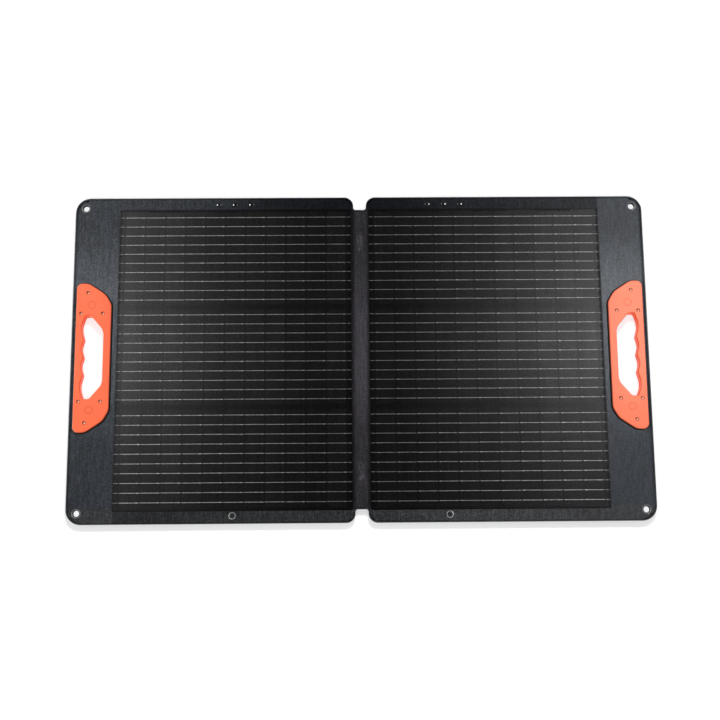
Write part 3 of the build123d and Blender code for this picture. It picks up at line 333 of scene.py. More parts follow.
def moulded(name, base, vary, rough=0.42, attr=None, grain=0.00006, spec=0.45, tint=None,
            low_shade=None, coat=0.0, wear=(0.9, 0.88, 0.85), wear_amount=0.12, grip=False):
    """Moulded plastic: fine spark texture, flow marks, scuffs; where asked, painted shade low down and in the hollows.
    """
    m = Mat(name, attr)
    big = m.noise(7, 3, 0.5)
    mid = m.noise(70, 4, 0.6)
    fine = m.noise(2600, 2, 0.6)
    scr = m.span(m.noise(300, 2, 0.8, s=(0.06, 1.0, 1)), 0.66, 0.72)
    scr2 = m.span(m.noise(260, 2, 0.8, s=(1.0, 0.05, 1), shift=(4, 4, 0)), 0.67, 0.73)
    color = m.mix(m.span(m.add(m.mul(big, 0.6), m.mul(mid, 0.4)), 0.3, 0.7), base, vary)
    if tint:
        color = m.mix(m.span(m.x, -0.2, 0.2), color, m.mix(0.5, color, tint))
    color = m.mix(m.mul(m.f("MAXIMUM", scr, scr2), wear_amount), color, wear)
    if grip:
        ax, ay = m.f("ABSOLUTE", m.x), m.f("ABSOLUTE", m.y)
        # painted shade: the grip a little darker towards the hinge side
        color = m.scale(color, m.span(ax, 0.474, 0.500, 0.90, 1.0, smooth=True))
        color = m.mix(m.mul(m.span(m.y, -0.02, -0.12), 0.45), color, base)
        # painted shade: dark rings round the screw recesses and round the raised round boss
        recess_shade = None
        for px, py in ((514.8, 124.0), (527.2, 84.0), (486.4, 84.0)):
            dx, dy = m.sub(ax, px * MM), m.sub(ay, py * MM)
            d = m.f("SQRT", m.add(m.mul(dx, dx), m.mul(dy, dy)))
            k = m.span(m.f("ABSOLUTE", m.sub(d, 3.35 * MM)), 0.70 * MM, 0.25 * MM, 0, 0.42)
            recess_shade = k if recess_shade is None else m.f("MAXIMUM", recess_shade, k)
        dx, dy = m.sub(ax, 507.5 * MM), m.sub(ay, 100.0 * MM)
        d = m.f("SQRT", m.add(m.mul(dx, dx), m.mul(dy, dy)))
        for rr in (6.25, 7.45):
            k = m.span(m.f("ABSOLUTE", m.sub(d, rr * MM)), 0.60 * MM, 0.15 * MM, 0, 0.44)
            recess_shade = m.f("MAXIMUM", recess_shade, k)
        color = m.mix(recess_shade, color, (0.16, 0.022, 0.010))
    if grip:
        # turned-down walls: shaded inside the hole, lit on the free side
        nn = m.t.nodes.new("ShaderNodeSeparateXYZ")
        m.t.links.new(m.t.nodes.new("ShaderNodeTexCoord").outputs["Normal"], nn.inputs[0])
        flat = m.f("ABSOLUTE", nn.outputs[2])
        lean = m.span(flat, 0.96, 0.35)
        face = m.mul(nn.outputs[0], m.f("SIGN", m.x))
        lit = m.mul(m.mul(lean, m.span(nn.outputs[0], -0.12, -0.40)), m.span(m.x, 0.1, -0.1))
        color = m.scale(color, m.sub(1.0, m.mul(lean, m.span(face, 0.3, -0.2, 0.22, 0.40))))
        color = m.mix(m.mul(lit, 0.85), color, (1.0, 0.56, 0.40))
        hole = m.mul(m.mul(m.span(ax, 0.4800, 0.4810), m.span(ax, 0.5315, 0.5305)),
                     m.span(ay, 0.0835, 0.0825))
        low_on = m.sub(1.0, hole)
        turn = m.mul(m.mul(hole, m.span(flat, 0.985, 0.75)), m.span(face, 0.05, -0.30))
        color = m.mix(m.mul(turn, 0.85), color, (0.52, 0.048, 0.014))
        glow = m.mul(hole, m.span(flat, 0.45, 0.10, 0.0, 0.36))
    # painted shade: darker low down, near the part's base
    if low_shade:
        z0, z1, c = low_shade
        dk = m.mul(m.span(m.z, z1, z0, smooth=True), 0.96)
        color = m.mix(m.mul(dk, low_on) if grip else dk, color, c)
    n = m.bump(fine, grain, 0.55)
    n = m.bump(mid, 0.00025, 0.25, under=n)
    r = m.add(rough - 0.07, m.add(m.mul(mid, 0.14), m.mul(m.f("MAXIMUM", scr, scr2), 0.12)))
    if grip:
        # light passed on by the coloured walls of the hand hole
        m.put(m.b.inputs["Emission Color"], (1.0, 0.105, 0.016))
        m.put(m.b.inputs["Emission Strength"], glow)
    return m.done(color, r, n, spec=spec, Coat_Weight=coat, Coat_Roughness=0.3)


def metal(name, base, dark, rough=0.28, s=(1, 1, 1), attr=None, metallic=1.0, pit=0.00008):
    """Plated metal: fine brushing, tarnish spots, handling marks."""
    m = Mat(name, attr)
    brush = m.noise(1500, 3, 0.7, s=s)
    spots = m.span(m.noise(420, 3, 0.6), 0.52, 0.75)
    big = m.noise(60, 2)
    color = m.mix(m.add(m.mul(spots, 0.55), m.mul(m.span(brush, 0.3, 0.8), 0.25)), base, dark)
    color = m.mix(m.mul(big, 0.2), color, dark)
    n = m.bump(m.add(brush, m.mul(spots, 0.5)), pit, 0.5)
    return m.done(color, m.add(rough, m.mul(m.add(spots, brush), 0.10)), n, metal=metallic, spec=0.5)


def turned(name, centres, dark, bands, rough=0.32, metallic=0.7, glints=()):
    """Small round metal fittings on dark plating: painted reflections as bright bands and glints, painted shade as dark
    bands and spots, by radius.
    """
    m = Mat(name)
    d = None
    for px, py in centres:
        dx, dy = m.sub(m.x, px), m.sub(m.y, py)
        k = m.f("SQRT", m.add(m.mul(dx, dx), m.mul(dy, dy)))
        d = k if d is None else m.f("MINIMUM", d, k)
    worn = m.noise(900, 3, 0.7)
    color = m.mix(m.span(worn, 0.35, 0.7), dark, tuple(min(1, c * 1.6) for c in dark))
    # painted reflections (bright bands) and painted shade (dark bands)
    for r0, r1, c in bands:
        mid_r, half = (r0 + r1) / 2 * MM, (r1 - r0) / 2 * MM
        k = m.span(m.f("ABSOLUTE", m.sub(d, mid_r)), half + 0.15 * MM, half - 0.15 * MM)
        color = m.mix(m.mul(k, m.span(worn, 0.25, 0.55, 0.55, 1.0)), color, c)
    for px, py, r, c in glints:
        dx, dy = m.sub(m.x, px), m.sub(m.y, py)
        k = m.f("SQRT", m.add(m.mul(dx, dx), m.mul(dy, dy)))
        color = m.mix(m.span(k, r * 1.25, r * 0.75), color, c)
    n = m.bump(worn, 0.00006, 0.5)
    return m.done(color, m.add(rough, m.mul(worn, 0.12)), n, metal=metallic, spec=0.4)


def banded(name, dark, light, attr="weave", rib=1.6):
    """Herringbone webbing, ribs across, from (across, along) in metres."""
    m = Mat(name, attr)
    k = 2 * math.pi / (rib * MM)
    v = m.add(m.y, m.mul(m.f("PINGPONG", m.x, 3.2 * MM), 0.55))
    rib_h = m.span(m.f("SINE", m.mul(v, k)), -1, 1)
    thread = m.span(m.f("SINE", m.mul(m.x, 2 * math.pi / 0.0007)), -1, 1)
    fuzz = m.noise(900, 3, 0.7)
    edge = m.span(m.f("ABSOLUTE", m.x), 0.0108, 0.0121)
    t = m.add(m.mul(rib_h, 0.45), m.add(m.mul(thread, 0.12), m.mul(m.span(fuzz, 0.3, 0.75), 0.4)))
    color = m.mix(t, dark, light)
    color = m.mix(m.mul(edge, 0.35), color, light)
    n = m.bump(rib_h, 0.00035, 0.7)
    n = m.bump(m.add(fuzz, m.mul(thread, 0.4)), 0.00015, 0.6, under=n)
    return m.done(color, 0.78, n, spec=0.2, Sheen_Weight=0.3, Sheen_Roughness=0.5)


# ------------------------------------------------------- sizes from the frame
ff_lo, ff_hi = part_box("right_front_fabric")
rf_lo, rf_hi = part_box("right_rear_fabric")
film_lo, film_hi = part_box("right_front_film")
spine_lo, spine_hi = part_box("hinge_spine")
PIN, POUT, HH = ff_lo.x, ff_hi.x, ff_hi.y
Z_FACE, Z_BACK = ff_hi.z, rf_lo.z
STRIP_Y = spine_hi.y
R_OUT, R_IN, R_FIL = 28 * MM, 17 * MM, 5 * MM
rng = np.random.default_rng(7)


# ------------------------------------------------------------ sheet modelling
def arc(cx, cy, r, a0, a1, n, inward=False):
    out = []
    for i in range(n + 1):
        a = math.radians(a0 + (a1 - a0) * i / n)
        nx, ny = math.cos(a), math.sin(a)
        out.append((cx + r * nx, cy + r * ny, -nx if inward else nx, -ny if inward else ny))
    return out


def line(x0, y0, x1, y1, nx, ny, step=5.5 * MM):
    n = max(1, int(math.hypot(x1 - x0, y1 - y0) / step))
    return [(x0 + (x1 - x0) * i / n, y0 + (y1 - y0) * i / n, nx, ny) for i in range(n + 1)]


def tidy(path):
    out = [path[0]]
    for p in path[1:]:
        if math.hypot(p[0] - out[-1][0], p[1] - out[-1][1]) > 1e-5:
            out.append(p)
    return out


def half_outline():
    """One half with its share of the hinge cloth, open along x = 0."""
    ccx, ccy = PIN + R_IN, HH - R_IN
    fy = STRIP_Y + R_FIL
    fx, a = PIN - R_FIL, 0.0
    if fy > ccy:
        fx = ccx - math.sqrt((R_IN + R_FIL) ** 2 - (fy - ccy) ** 2)
        a = math.degrees(math.atan2(ccy - fy, ccx - fx))
    top = line(0, STRIP_Y, fx, STRIP_Y, 0, 1, 1.6 * MM)
    top += arc(fx, fy, R_FIL, -90, a, 6, inward=True)
    if fy < ccy:
        top += line(PIN, fy, PIN, ccy, -1, 0, 2 * MM)
    top += arc(ccx, ccy, R_IN, 180 + a, 90, 12)
    top += line(ccx, HH, POUT - R_OUT, HH, 0, 1)
    top += arc(POUT - R_OUT, HH - R_OUT, R_OUT, 90, 0, 18)
    top += line(POUT, HH - R_OUT, POUT, 0, 1, 0)
    low = [(x, -y, nx, -ny) for x, y, nx, ny in reversed(top)]
    return tidy(top + low)


def rounded_rect(x0, x1, y0, y1, r, step=6 * MM):
    p = line(x0 + r, y1, x1 - r, y1, 0, 1, step) + arc(x1 - r, y1 - r, r, 90, 0, 6)
    p += line(x1, y1 - r, x1, y0 + r, 1, 0, step) + arc(x1 - r, y0 + r, r, 0, -90, 6)
    p += line(x1 - r, y0, x0 + r, y0, 0, -1, step) + arc(x0 + r, y0 + r, r, -90, -180, 6)
    p += line(x0, y0 + r, x0, y1 - r, -1, 0, step) + arc(x0 + r, y1 - r, r, 180, 90, 6)
    p = tidy(p)
    if math.hypot(p[0][0] - p[-1][0], p[0][1] - p[-1][1]) < 1e-5:
        p.pop()
    return p


def ring(cx, cy, r, n=28):
    return [(cx + r * math.cos(2 * math.pi * i / n), cy + r * math.sin(2 * math.pi * i / n))
            for i in range(n)]


def inside(px, py, loop):
    loop = np.asarray(loop)
    x0, y0 = loop[:, 0], loop[:, 1]
    x1, y1 = np.roll(x0, -1), np.roll(y0, -1)
    odd = np.zeros(len(px), bool)
    for a, b, c, d in zip(x0, y0, x1, y1):
        if b == d:
            continue
        hit = ((b > py) != (d > py)) & (px < (c - a) * (py - b) / (d - b) + a)
        odd ^= hit
    return odd


def near(px, py, loop):
    loop = np.asarray(loop)
    best = np.full(len(px), 1e9)
    for (a, b), (c, d) in zip(loop, np.roll(loop, -1, axis=0)):
        L = (c - a) ** 2 + (d - b) ** 2
        t = np.clip(((px - a) * (c - a) + (py - b) * (d - b)) / max(L, 1e-15), 0, 1)
        best = np.minimum(best, np.hypot(px - a - t * (c - a), py - b - t * (d - b)))
    return best


def to_mesh(name, verts, faces, mat, smooth=True, attrs=None):
    me = bpy.data.meshes.new(name)
    me.from_pydata([tuple(v) for v in verts], [], faces)
    me.validate()
    me.update()
    if smooth:
        me.polygons.foreach_set("use_smooth", [True] * len(me.polygons))
    for key, data in (attrs or {"rest": None}).items():
        at = me.attributes.new(key, "FLOAT_VECTOR", "POINT")
        if data is None:
            data = np.array([v.co for v in me.vertices], float)
        at.data.foreach_set("vector", np.asarray(data, np.float32).ravel())
    o = bpy.data.objects.new(name, me)
    bpy.context.scene.collection.objects.link(o)
    me.materials.append(mat)
    return o


def sheet(name, s, path, closed, holes, step, height, seam, profile, up, mat):
    """Cloth or film: a triangulated face with a rolled edge. Built at x > 0, mirrored if s < 0."""
    d0 = profile[0][0]
    inner = [(x + nx * d0, y + ny * d0) for x, y, nx, ny in path]
    loop = list(inner)
    if not closed:
        y0, y1 = inner[-1][1], inner[0][1]
        n = max(2, int((y1 - y0) / (step * 0.6)))
        loop += [(inner[-1][0], y0 + (y1 - y0) * i / n) for i in range(1, n)]
    xs = np.array([p[0] for p in loop])
    ys = np.array([p[1] for p in loop])
    gx = np.arange(xs.min() + step * 0.5, xs.max(), step)
    if not closed:
        gx = np.concatenate([np.arange(1.1 * MM, 16.6 * MM, 1.5 * MM), gx[gx > 17 * MM]])
    gy = np.arange(ys.min() + step * 0.45, ys.max(), step)
    px, py = [a.ravel() for a in np.meshgrid(gx, gy)]
    off = np.where(np.arange(len(gy))[:, None] % 2 == 0, 0.0, 0.5 * step) * np.ones(len(gx))
    px = px + np.where(px > 17 * MM, off.ravel() - 0.25 * step, 0)
    keep = inside(px, py, loop)
    px, py = px[keep], py[keep]
    keep = near(px, py, loop) > 0.8 * MM
    for h in holes:
        keep &= ~inside(px, py, h)
        keep &= near(px, py, h) > 1.0 * MM
    px, py = px[keep], py[keep]
    pts = [Vector(p) for p in loop]
    edges = [(i, (i + 1) % len(loop)) for i in range(len(loop))]
    for h in holes:
        k = len(pts)
        pts += [Vector(p) for p in h]
        edges += [(k + i, k + (i + 1) % len(h)) for i in range(len(h))]
    pts += [Vector(p) for p in zip(px, py)]
    co, _, tri, _, _, _ = delaunay_2d_cdt(pts, edges, [], 0, 1e-7)
    co = np.array([tuple(c) for c in co])
    tri = np.array([t for t in tri if len(t) == 3])
    c = co[tri].mean(axis=1)
    ok = inside(c[:, 0], c[:, 1], loop)
    for h in holes:
        ok &= ~inside(c[:, 0], c[:, 1], h)
    tri = tri[ok]
    z = height(co[:, 0], co[:, 1])
    verts = [(s * x, y, zz) for (x, y), zz in zip(co, z)]
    a = co[tri]
    turn = np.cross(a[:, 1] - a[:, 0], a[:, 2] - a[:, 0]) > 0
    faces = []
    for t, ccw in zip(tri, turn):
        up_now = bool(ccw) == (s > 0)
        faces.append(tuple(t) if up_now == up else tuple(t[::-1]))
    p = np.array(path)
    base = len(verts)
    n = len(path)
    top = height(p[:, 0] + p[:, 2] * d0, p[:, 1] + p[:, 3] * d0)
    for d, f in profile:
        for i in range(n):
            verts.append((s * (p[i, 0] + p[i, 2] * d), p[i, 1] + p[i, 3] * d,
                          top[i] + (seam - top[i]) * f))
    for r in range(len(profile) - 1):
        for i in range(n if closed else n - 1):
            j = (i + 1) % n
            q = (base + r * n + i, base + r * n + j, base + (r + 1) * n + j, base + (r + 1) * n + i)
            faces.append(q if (s < 0) == up else q[::-1])
    bm = bmesh.new()
    bv = [bm.verts.new(v) for v in verts]
    for fc in faces:
        try:
            bm.faces.new([bv[i] for i in fc])
        except ValueError:
            pass
    bmesh.ops.remove_doubles(bm, verts=bm.verts, dist=2e-6)
    loose = [v for v in bm.verts if not v.link_faces]
    bmesh.ops.delete(bm, geom=loose, context="VERTS")
    me = bpy.data.meshes.new(name)
    bm.to_mesh(me)
    bm.free()
    me.polygons.foreach_set("use_smooth", [True] * len(me.polygons))
    at = me.attributes.new("rest", "FLOAT_VECTOR", "POINT")
    at.data.foreach_set("vector", np.array([v.co for v in me.vertices], np.float32).ravel())
    me.materials.append(mat)
    o = bpy.data.objects.new(name, me)
    bpy.context.scene.collection.objects.link(o)
    return o


def waves(x, y, seed, n=26, lo=0.02, hi=0.11):
    """Smooth unevenness in -1..1, wavelengths lo..hi metres."""
    g = np.random.default_rng(seed)
    out = np.zeros(np.shape(x))
    for _ in range(n):
        lam, th, ph = g.uniform(lo, hi), g.uniform(0, math.pi), g.uniform(0, 6.28)
        out = out + np.sin((x * math.cos(th) + y * math.sin(th)) * 2 * math.pi / lam + ph) * lam / hi
    return out / (0.5 * n)


def smooth(t):
    t = np.clip(t, 0, 1)
    return t * t * (3 - 2 * t)


def fittings(s):
    """Holes and puckers of one half, at x > 0: corner grommets, leg rivets, snap ring."""
    side = "right" if s > 0 else "left"
    g_lo, g_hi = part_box(f"{side}_grommets")
    gx = (max(abs(g_lo.x), abs(g_hi.x)) - 9 * MM)
    gy = g_hi.y - 9 * MM
    r_lo, r_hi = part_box(f"{side}_stand_rivets")
    lo, hi = sorted((abs(r_lo.x), abs(r_hi.x)))
    ry = (r_lo.y + r_hi.y) / 2
    e_lo, e_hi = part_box(f"{side}_snap_eyelet")
    ex, ey = abs(e_lo.x + e_hi.x) / 2, (e_lo.y + e_hi.y) / 2
    riv = [(lo + 4.9 * MM, ry), ((lo + hi) / 2, ry), (hi - 4.9 * MM, ry)]
    return [(gx, gy), (gx, -gy)], riv, (ex, ey)


def front_height(s):
    gro, riv, eye = fittings(s)

    def h(x, y):
        x, y = np.asarray(x), np.asarray(y)
        z = np.full(x.shape, Z_FACE) + waves(s * x, y, 11) * 0.10 * MM - 0.04 * MM
        edge = np.minimum(np.minimum(POUT - x, HH - np.abs(y)), np.abs(x - PIN) + 1e3 * (x < 40 * MM))
        z = z - 0.16 * MM * np.exp(-((edge - 6.5 * MM) / (1.1 * MM)) ** 2)
        for gx, gy in gro:
            d = np.hypot(x - gx, y - gy)
            ang = np.arctan2(y - gy, x - gx)
            z = z - 0.30 * MM * np.exp(-((d - 9 * MM) / (4 * MM)) ** 2) * (1 + 0.35 * np.sin(7 * ang + 1))
        for gx, gy in riv + [eye]:
            d = np.hypot(x - gx, y - gy)
            z = z - 0.25 * MM * np.exp(-((d - 5 * MM) / (3 * MM)) ** 2)
        t = smooth((13.4 * MM - x) / (4.6 * MM))
        dip = Z_FACE - 0.95 * MM
        dip = dip + 0.42 * MM * np.exp(-((x - 6.2 * MM) / (2.3 * MM)) ** 2) * (0.7 + 0.3 * np.sin(y * 41 + s))
        dip = dip - 0.25 * MM * np.exp(-(x / (1.6 * MM)) ** 2)
        wr = np.sin(y * 330 + 2.1 * np.sin(y * 47) + s * x * 260) * np.sin(y * 23 + 1.3) ** 2
        dip = dip + 0.13 * MM * wr * np.exp(-((x - 5 * MM) / (4 * MM)) ** 2)
        for b in (220 * MM, -220 * MM):
            flat = smooth((23 * MM - np.abs(y - b)) / (8 * MM))
            dip = dip + 0.42 * MM * flat * smooth((8.4 * MM - x) / (2.4 * MM))
            dip = dip + 0.10 * MM * flat * np.sin(x * 1900 + y * 300)
        return z * (1 - t) + dip * t
    return h


def back_height(s):
    def h(x, y):
        x, y = np.asarray(x), np.asarray(y)
        z = np.full(x.shape, Z_BACK + 0.10 * MM) + waves(s * x, y, 23) * 0.09 * MM
        edge = np.minimum(POUT - x, HH - np.abs(y))
        z = z + 0.16 * MM * np.exp(-((edge - 6.5 * MM) / (1.1 * MM)) ** 2)
        t = smooth((13.4 * MM - x) / (4.6 * MM))
        dip = Z_BACK + 0.62 * MM + 0.16 * MM * np.sin(y * 61 + s) * np.exp(-((x - 5 * MM) / (4 * MM)) ** 2)
        dip = dip - 0.25 * MM * np.exp(-((x - 6 * MM) / (2.2 * MM)) ** 2)
        return z * (1 - t) + dip * t
    return h


def film_height(s):
    def h(x, y):
        x, y = np.asarray(x), np.asarray(y)
        z = np.full(x.shape, film_hi.z - 0.02 * MM) + waves(s * x, y, 31, lo=0.03, hi=0.16) * 0.07 * MM
        u = (x - 26.44 * MM) / (38.4 * MM)
        fr = np.abs((u + 0.5) % 1.0 - 0.5) * 38.4 * MM
        return z - 0.05 * MM * np.exp(-(fr / (1.6 * MM)) ** 2)
    return h


EDGE = [(-2.6, 0), (-1.9, .03), (-1.3, .11), (-0.8, .27), (-0.42, .50), (-0.2, .78), (-0.12, .95), (0.1, 1.0)]
EDGE = [(a * MM, b) for a, b in EDGE]
FILM_EDGE = [(a * MM, b) for a, b in ((-2.0, 0), (-1.4, .12), (-0.8, .38), (-0.3, .68), (0.04, 1.0))]

m_front = woven("margin_cloth", (0.0084, 0.0101, 0.0130), (0.0355, 0.0425, 0.0530), "rest", front=True, flecks=0.8, rough=0.42)
m_back = woven("back_cloth", (0.016, 0.018, 0.021), (0.056, 0.062, 0.071), "rest", pitch=1.2, streak=0.7, flecks=0.7)
m_film = film_material()
m_line = line_material()

SEAM = Z_BACK + 1.75 * MM
hand = {}
for side, s in (("left", -1), ("right", 1)):
    path = half_outline()
    gro, riv, eye = fittings(s)
    sl_lo, sl_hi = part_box(f"{side}_handle_front")
    hole = [(481.5 * MM, -83 * MM), (530 * MM, -83 * MM), (530 * MM, 83 * MM), (481.5 * MM, 83 * MM)]
    wx0, wx1, wy = film_lo.x + 1 * MM, film_hi.x - 1 * MM, film_hi.y - 1 * MM
    window = [(p[0], p[1]) for p in rounded_rect(wx0, wx1, -wy, wy, 2 * MM, 5.5 * MM)]
    rings = [ring(x, y, 6.95 * MM) for x, y in gro]
    front = sheet(f"{side}_front_cover", s, path, False,
                  [window, hole] + rings + [ring(x, y, 3.4 * MM, 16) for x, y in riv] + [ring(*eye, 4.4 * MM, 20)],
                  5.0 * MM, front_height(s), SEAM, EDGE, True, m_front)
    back = sheet(f"{side}_back_cover", s, path, False, [hole] + rings,
                 7.0 * MM, back_height(s), SEAM, EDGE, False, m_back)
    film = sheet(f"{side}_front_sheet", s,
                 rounded_rect(film_lo.x, film_hi.x, -film_hi.y, film_hi.y, 3 * MM), True, [],
                 6.4 * MM, film_height(s), film_lo.z + 0.02 * MM, FILM_EDGE, True, m_film)
    a, b = (s * 13.5 * MM, 0, 0.0126), (s * 8.5 * MM, 0, 0.0126)
    for o in (front, back):
        if s < 0:
            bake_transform(o)
        else:
            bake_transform(o)
    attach(film, f"{side}_panel")
    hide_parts(f"{side}_front_fabric")
    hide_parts(f"{side}_rear_fabric", f"{side}_hinge_tab")
    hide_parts(f"{side}_front_film")
    if s < 0:
        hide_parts("hinge_spine", "hinge_braids")


# ------------------------------------------------------------------- busbars
def busbar_lines(side, s):
    top = film_height(s)
    verts, faces = [], []
    g = np.random.default_rng(3 + s)
    prof = [(-0.62, -0.10), (-0.40, 0.09), (0, 0.17), (0.40, 0.09), (0.62, -0.10)]
    spans = [(17.6, 25.9)] + [(26.44 + 38.4 * i + 0.5, 26.44 + 38.4 * (i + 1) - 0.5) for i in range(11)] + [(449.6, 459.3)]
    for row in (191.65, 0.25, -191.6):
        for k in range(10):
            y0 = row + 18.0 * (4.5 - k)
            for x0, x1 in spans:
                x0, x1 = x0 + g.uniform(-0.25, 0.5), x1 + g.uniform(-0.5, 0.25)
                n = max(3, int((x1 - x0) / 3.0))
                dy = g.uniform(-0.12, 0.12)
                base = len(verts)
                for i in range(n + 1):
                    x = x0 + (x1 - x0) * i / n
                    end = 0.8 if i in (0, n) else 1.0
                    w = end * (1 + g.uniform(-0.10, 0.10))
                    y = y0 + dy + g.uniform(-0.05, 0.05)
                    z = float(top(np.array([x * MM]), np.array([y * MM]))[0])
                    for a, b in prof:
                        verts.append((s * x * MM, (y + a * w) * MM, z + b * end * MM))
                for i in range(n):
                    for j in range(4):
                        q = (base + i * 5 + j, base + (i + 1) * 5 + j, base + (i + 1) * 5 + j + 1, base + i * 5 + j + 1)
                        faces.append(q if s > 0 else q[::-1])
    o = to_mesh(f"{side}_busbar_lines", verts, faces, m_line)
    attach(o, f"{side}_panel")
    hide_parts(f"{side}_busbar_ribbons")
    return o


for side, s in (("left", -1), ("right", 1)):
    busbar_lines(side, s)


# -------------------------------------------------------------- brace straps
m_web = banded("brace_webbing_weave", (0.012, 0.013, 0.015), (0.075, 0.080, 0.088))
m_patch = banded("brace_anchor_weave", (0.012, 0.013, 0.015), (0.080, 0.085, 0.092))
m_thread = woven("stitch_thread", (0.16, 0.165, 0.17), (0.30, 0.31, 0.32), None, pitch=0.5, blotch=0.1)


def brace(side):
    j = [q for q in frame["joints"] if q["name"] == f"{side}_stand_hinge"][0]
    py, pz = j["pos_m"][1], j["pos_m"][2]
    full = math.radians(j["range_deg"][1])
    b_lo, b_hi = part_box(f"{side}_brace_webbing")
    leg_lo, leg_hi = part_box(f"{side}_stand_leg")
    cx, cy = (b_lo.x + b_hi.x) / 2, (b_lo.y + b_hi.y) / 2
    z0, z1 = Z_BACK - 0.15 * MM, leg_hi.z + 0.15 * MM
    R = py - cy
    N, half, thick = 56, 12.5 * MM, 1.3 * MM
    xs = [-1, -0.94, -0.6, -0.2, 0.2, 0.6, 0.94, 1]
    verts, uv = [], []
    for i in range(N + 1):
        w = i / N
        t = 0.5 - math.sin(math.asin(1 - 2 * w) / 3)          # inverse of the smooth step
        z = z0 + (z1 - z0) * t
        r = R * math.cos(full / 2) / math.cos((w - 0.5) * full)
        r += 0.35 * MM * math.sin(w * 31) * math.sin(math.pi * w)
        for side_k in (0, 1):
            for f in xs:
                e = 0.55 if abs(f) == 1 else 1.0
                off = (thick / 2) * e * (1 if side_k else -1)
                verts.append((cx + f * half, py - r + off, z))
                uv.append((f * half, w * R * full, off))
    faces = []
    K = len(xs)
    for i in range(N):
        a, b = i * 2 * K, (i + 1) * 2 * K
        for k in range(K - 1):
            faces.append((a + k, a + k + 1, b + k + 1, b + k))
            faces.append((a + K + k, b + K + k, b + K + k + 1, a + K + k + 1))
        faces.append((a, b, b + K, a + K))
        faces.append((a + K - 1, a + 2 * K - 1, b + 2 * K - 1, b + K - 1))
    o = to_mesh(f"{side}_brace_strap", verts, faces, m_web, attrs={"weave": uv, "rest": None})
    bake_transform(o)
    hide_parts(f"{side}_brace_webbing")
    for where, body, zb, zt in (("panel", f"{side}_panel", z0 - 1.05 * MM, z0 + 0.1 * MM),
                                ("leg", f"{side}_stand", z1 - 0.1 * MM, z1 + 1.0 * MM)):
        vs, us, fs = [], [], []
        nx, ny, L = 14, 14, 24 * MM
        for jy in range(ny + 1):
            for ix in range(nx + 1):
                fx, fy = ix / nx * 2 - 1, jy / ny
                rim = min(1 - abs(fx), min(fy, 1 - fy) * 2)
                e = float(smooth(np.array(rim * 7)))
                lift = e * (1 + 0.08 * math.sin(ix * 1.7 + jy * 0.9))
                zz = zt - (zt - zb) * lift if where == "panel" else zb + (zt - zb) * lift
                x, y = cx + fx * half, cy + 1.0 * MM - fy * L
                vs.append((x, y, zz))
                us.append((fx * half, fy * L, 0))
        for jy in range(ny):
            for ix in range(nx):
                q = (jy * (nx + 1) + ix, jy * (nx + 1) + ix + 1, (jy + 1) * (nx + 1) + ix + 1, (jy + 1) * (nx + 1) + ix)
                fs.append(q if where == "panel" else q[::-1])
        p = to_mesh(f"{side}_brace_anchor_{where}", vs, fs, m_patch, attrs={"weave": us, "rest": None})
        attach(p, body)
        # box stitch with a cross
        zf = zb if where == "panel" else zt
        c = [(-9, 3), (9, 3), (9, 20), (-9, 20), (-9, 3), (9, 20), None, (9, 3), (-9, 20)]
        sv, sf = [], []
        last = None
        for q in c:
            if q is None:
                last = None
                continue
            if last is not None:
                L2 = math.hypot(q[0] - last[0], q[1] - last[1])
                m = int(L2 / 2.6)
                for i in range(m):
                    t0, t1 = (i + 0.15) / m, (i + 0.85) / m
                    ax_, ay_ = last[0] + (q[0] - last[0]) * t0, last[1] + (q[1] - last[1]) * t0
                    bx_, by_ = last[0] + (q[0] - last[0]) * t1, last[1] + (q[1] - last[1]) * t1
                    ux, uy = (q[0] - last[0]) / L2, (q[1] - last[1]) / L2
                    k0 = len(sv)
                    for fr in (0, 0.25, 0.75, 1):
                        x = ax_ + (bx_ - ax_) * fr
                        y = ay_ + (by_ - ay_) * fr
                        lift = 0.16 * math.sin(math.pi * (0.15 + 0.7 * fr))
                        for an in range(6):
                            th = an * math.pi / 3
                            ox, oz = 0.28 * math.cos(th), 0.22 * math.sin(th)
                            zz = zf + (-(lift) if where == "panel" else lift) * MM + oz * MM
                            sv.append((cx + (x - uy * ox) * MM, cy + 1.0 * MM - (y + ux * ox) * MM, zz))
                    for r in range(3):
                        for an in range(6):
                            an2 = (an + 1) % 6
                            sf.append((k0 + r * 6 + an, k0 + r * 6 + an2, k0 + (r + 1) * 6 + an2, k0 + (r + 1) * 6 + an))
                    sf.append(tuple(k0 + a for a in range(6)))
                    sf.append(tuple(k0 + 18 + a for a in reversed(range(6))))
            last = q
        st = to_mesh(f"{side}_brace_stitch_{where}", sv, sf, m_thread)
        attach(st, body)


for side in ("left", "right"):
    brace(side)


# -------------------------------------------------- painted shade: near-black rim round the handles
def round_corners(pts, n=7):
    out = []
    for i, (x, y, r) in enumerate(pts):
        p = Vector((x, y))
        a = Vector(pts[i - 1][:2]) - p
        b = Vector(pts[(i + 1) % len(pts)][:2]) - p
        a.normalize(), b.normalize()
        half = a.angle(b) / 2
        cut = r / math.tan(half)
        p0, p1 = p + a * cut, p + b * cut
        c = p + (a + b).normalized() * (r / math.sin(half))
        a0 = math.atan2(p0.y - c.y, p0.x - c.x)
        a1 = math.atan2(p1.y - c.y, p1.x - c.x)
        d = (a1 - a0 + math.pi) % (2 * math.pi) - math.pi
        for k in range(n + 1):
            t = a0 + d * k / n
            nx, ny = math.cos(t), math.sin(t)
            out.append((c.x + r * nx, c.y + r * ny, nx, ny))
    return out
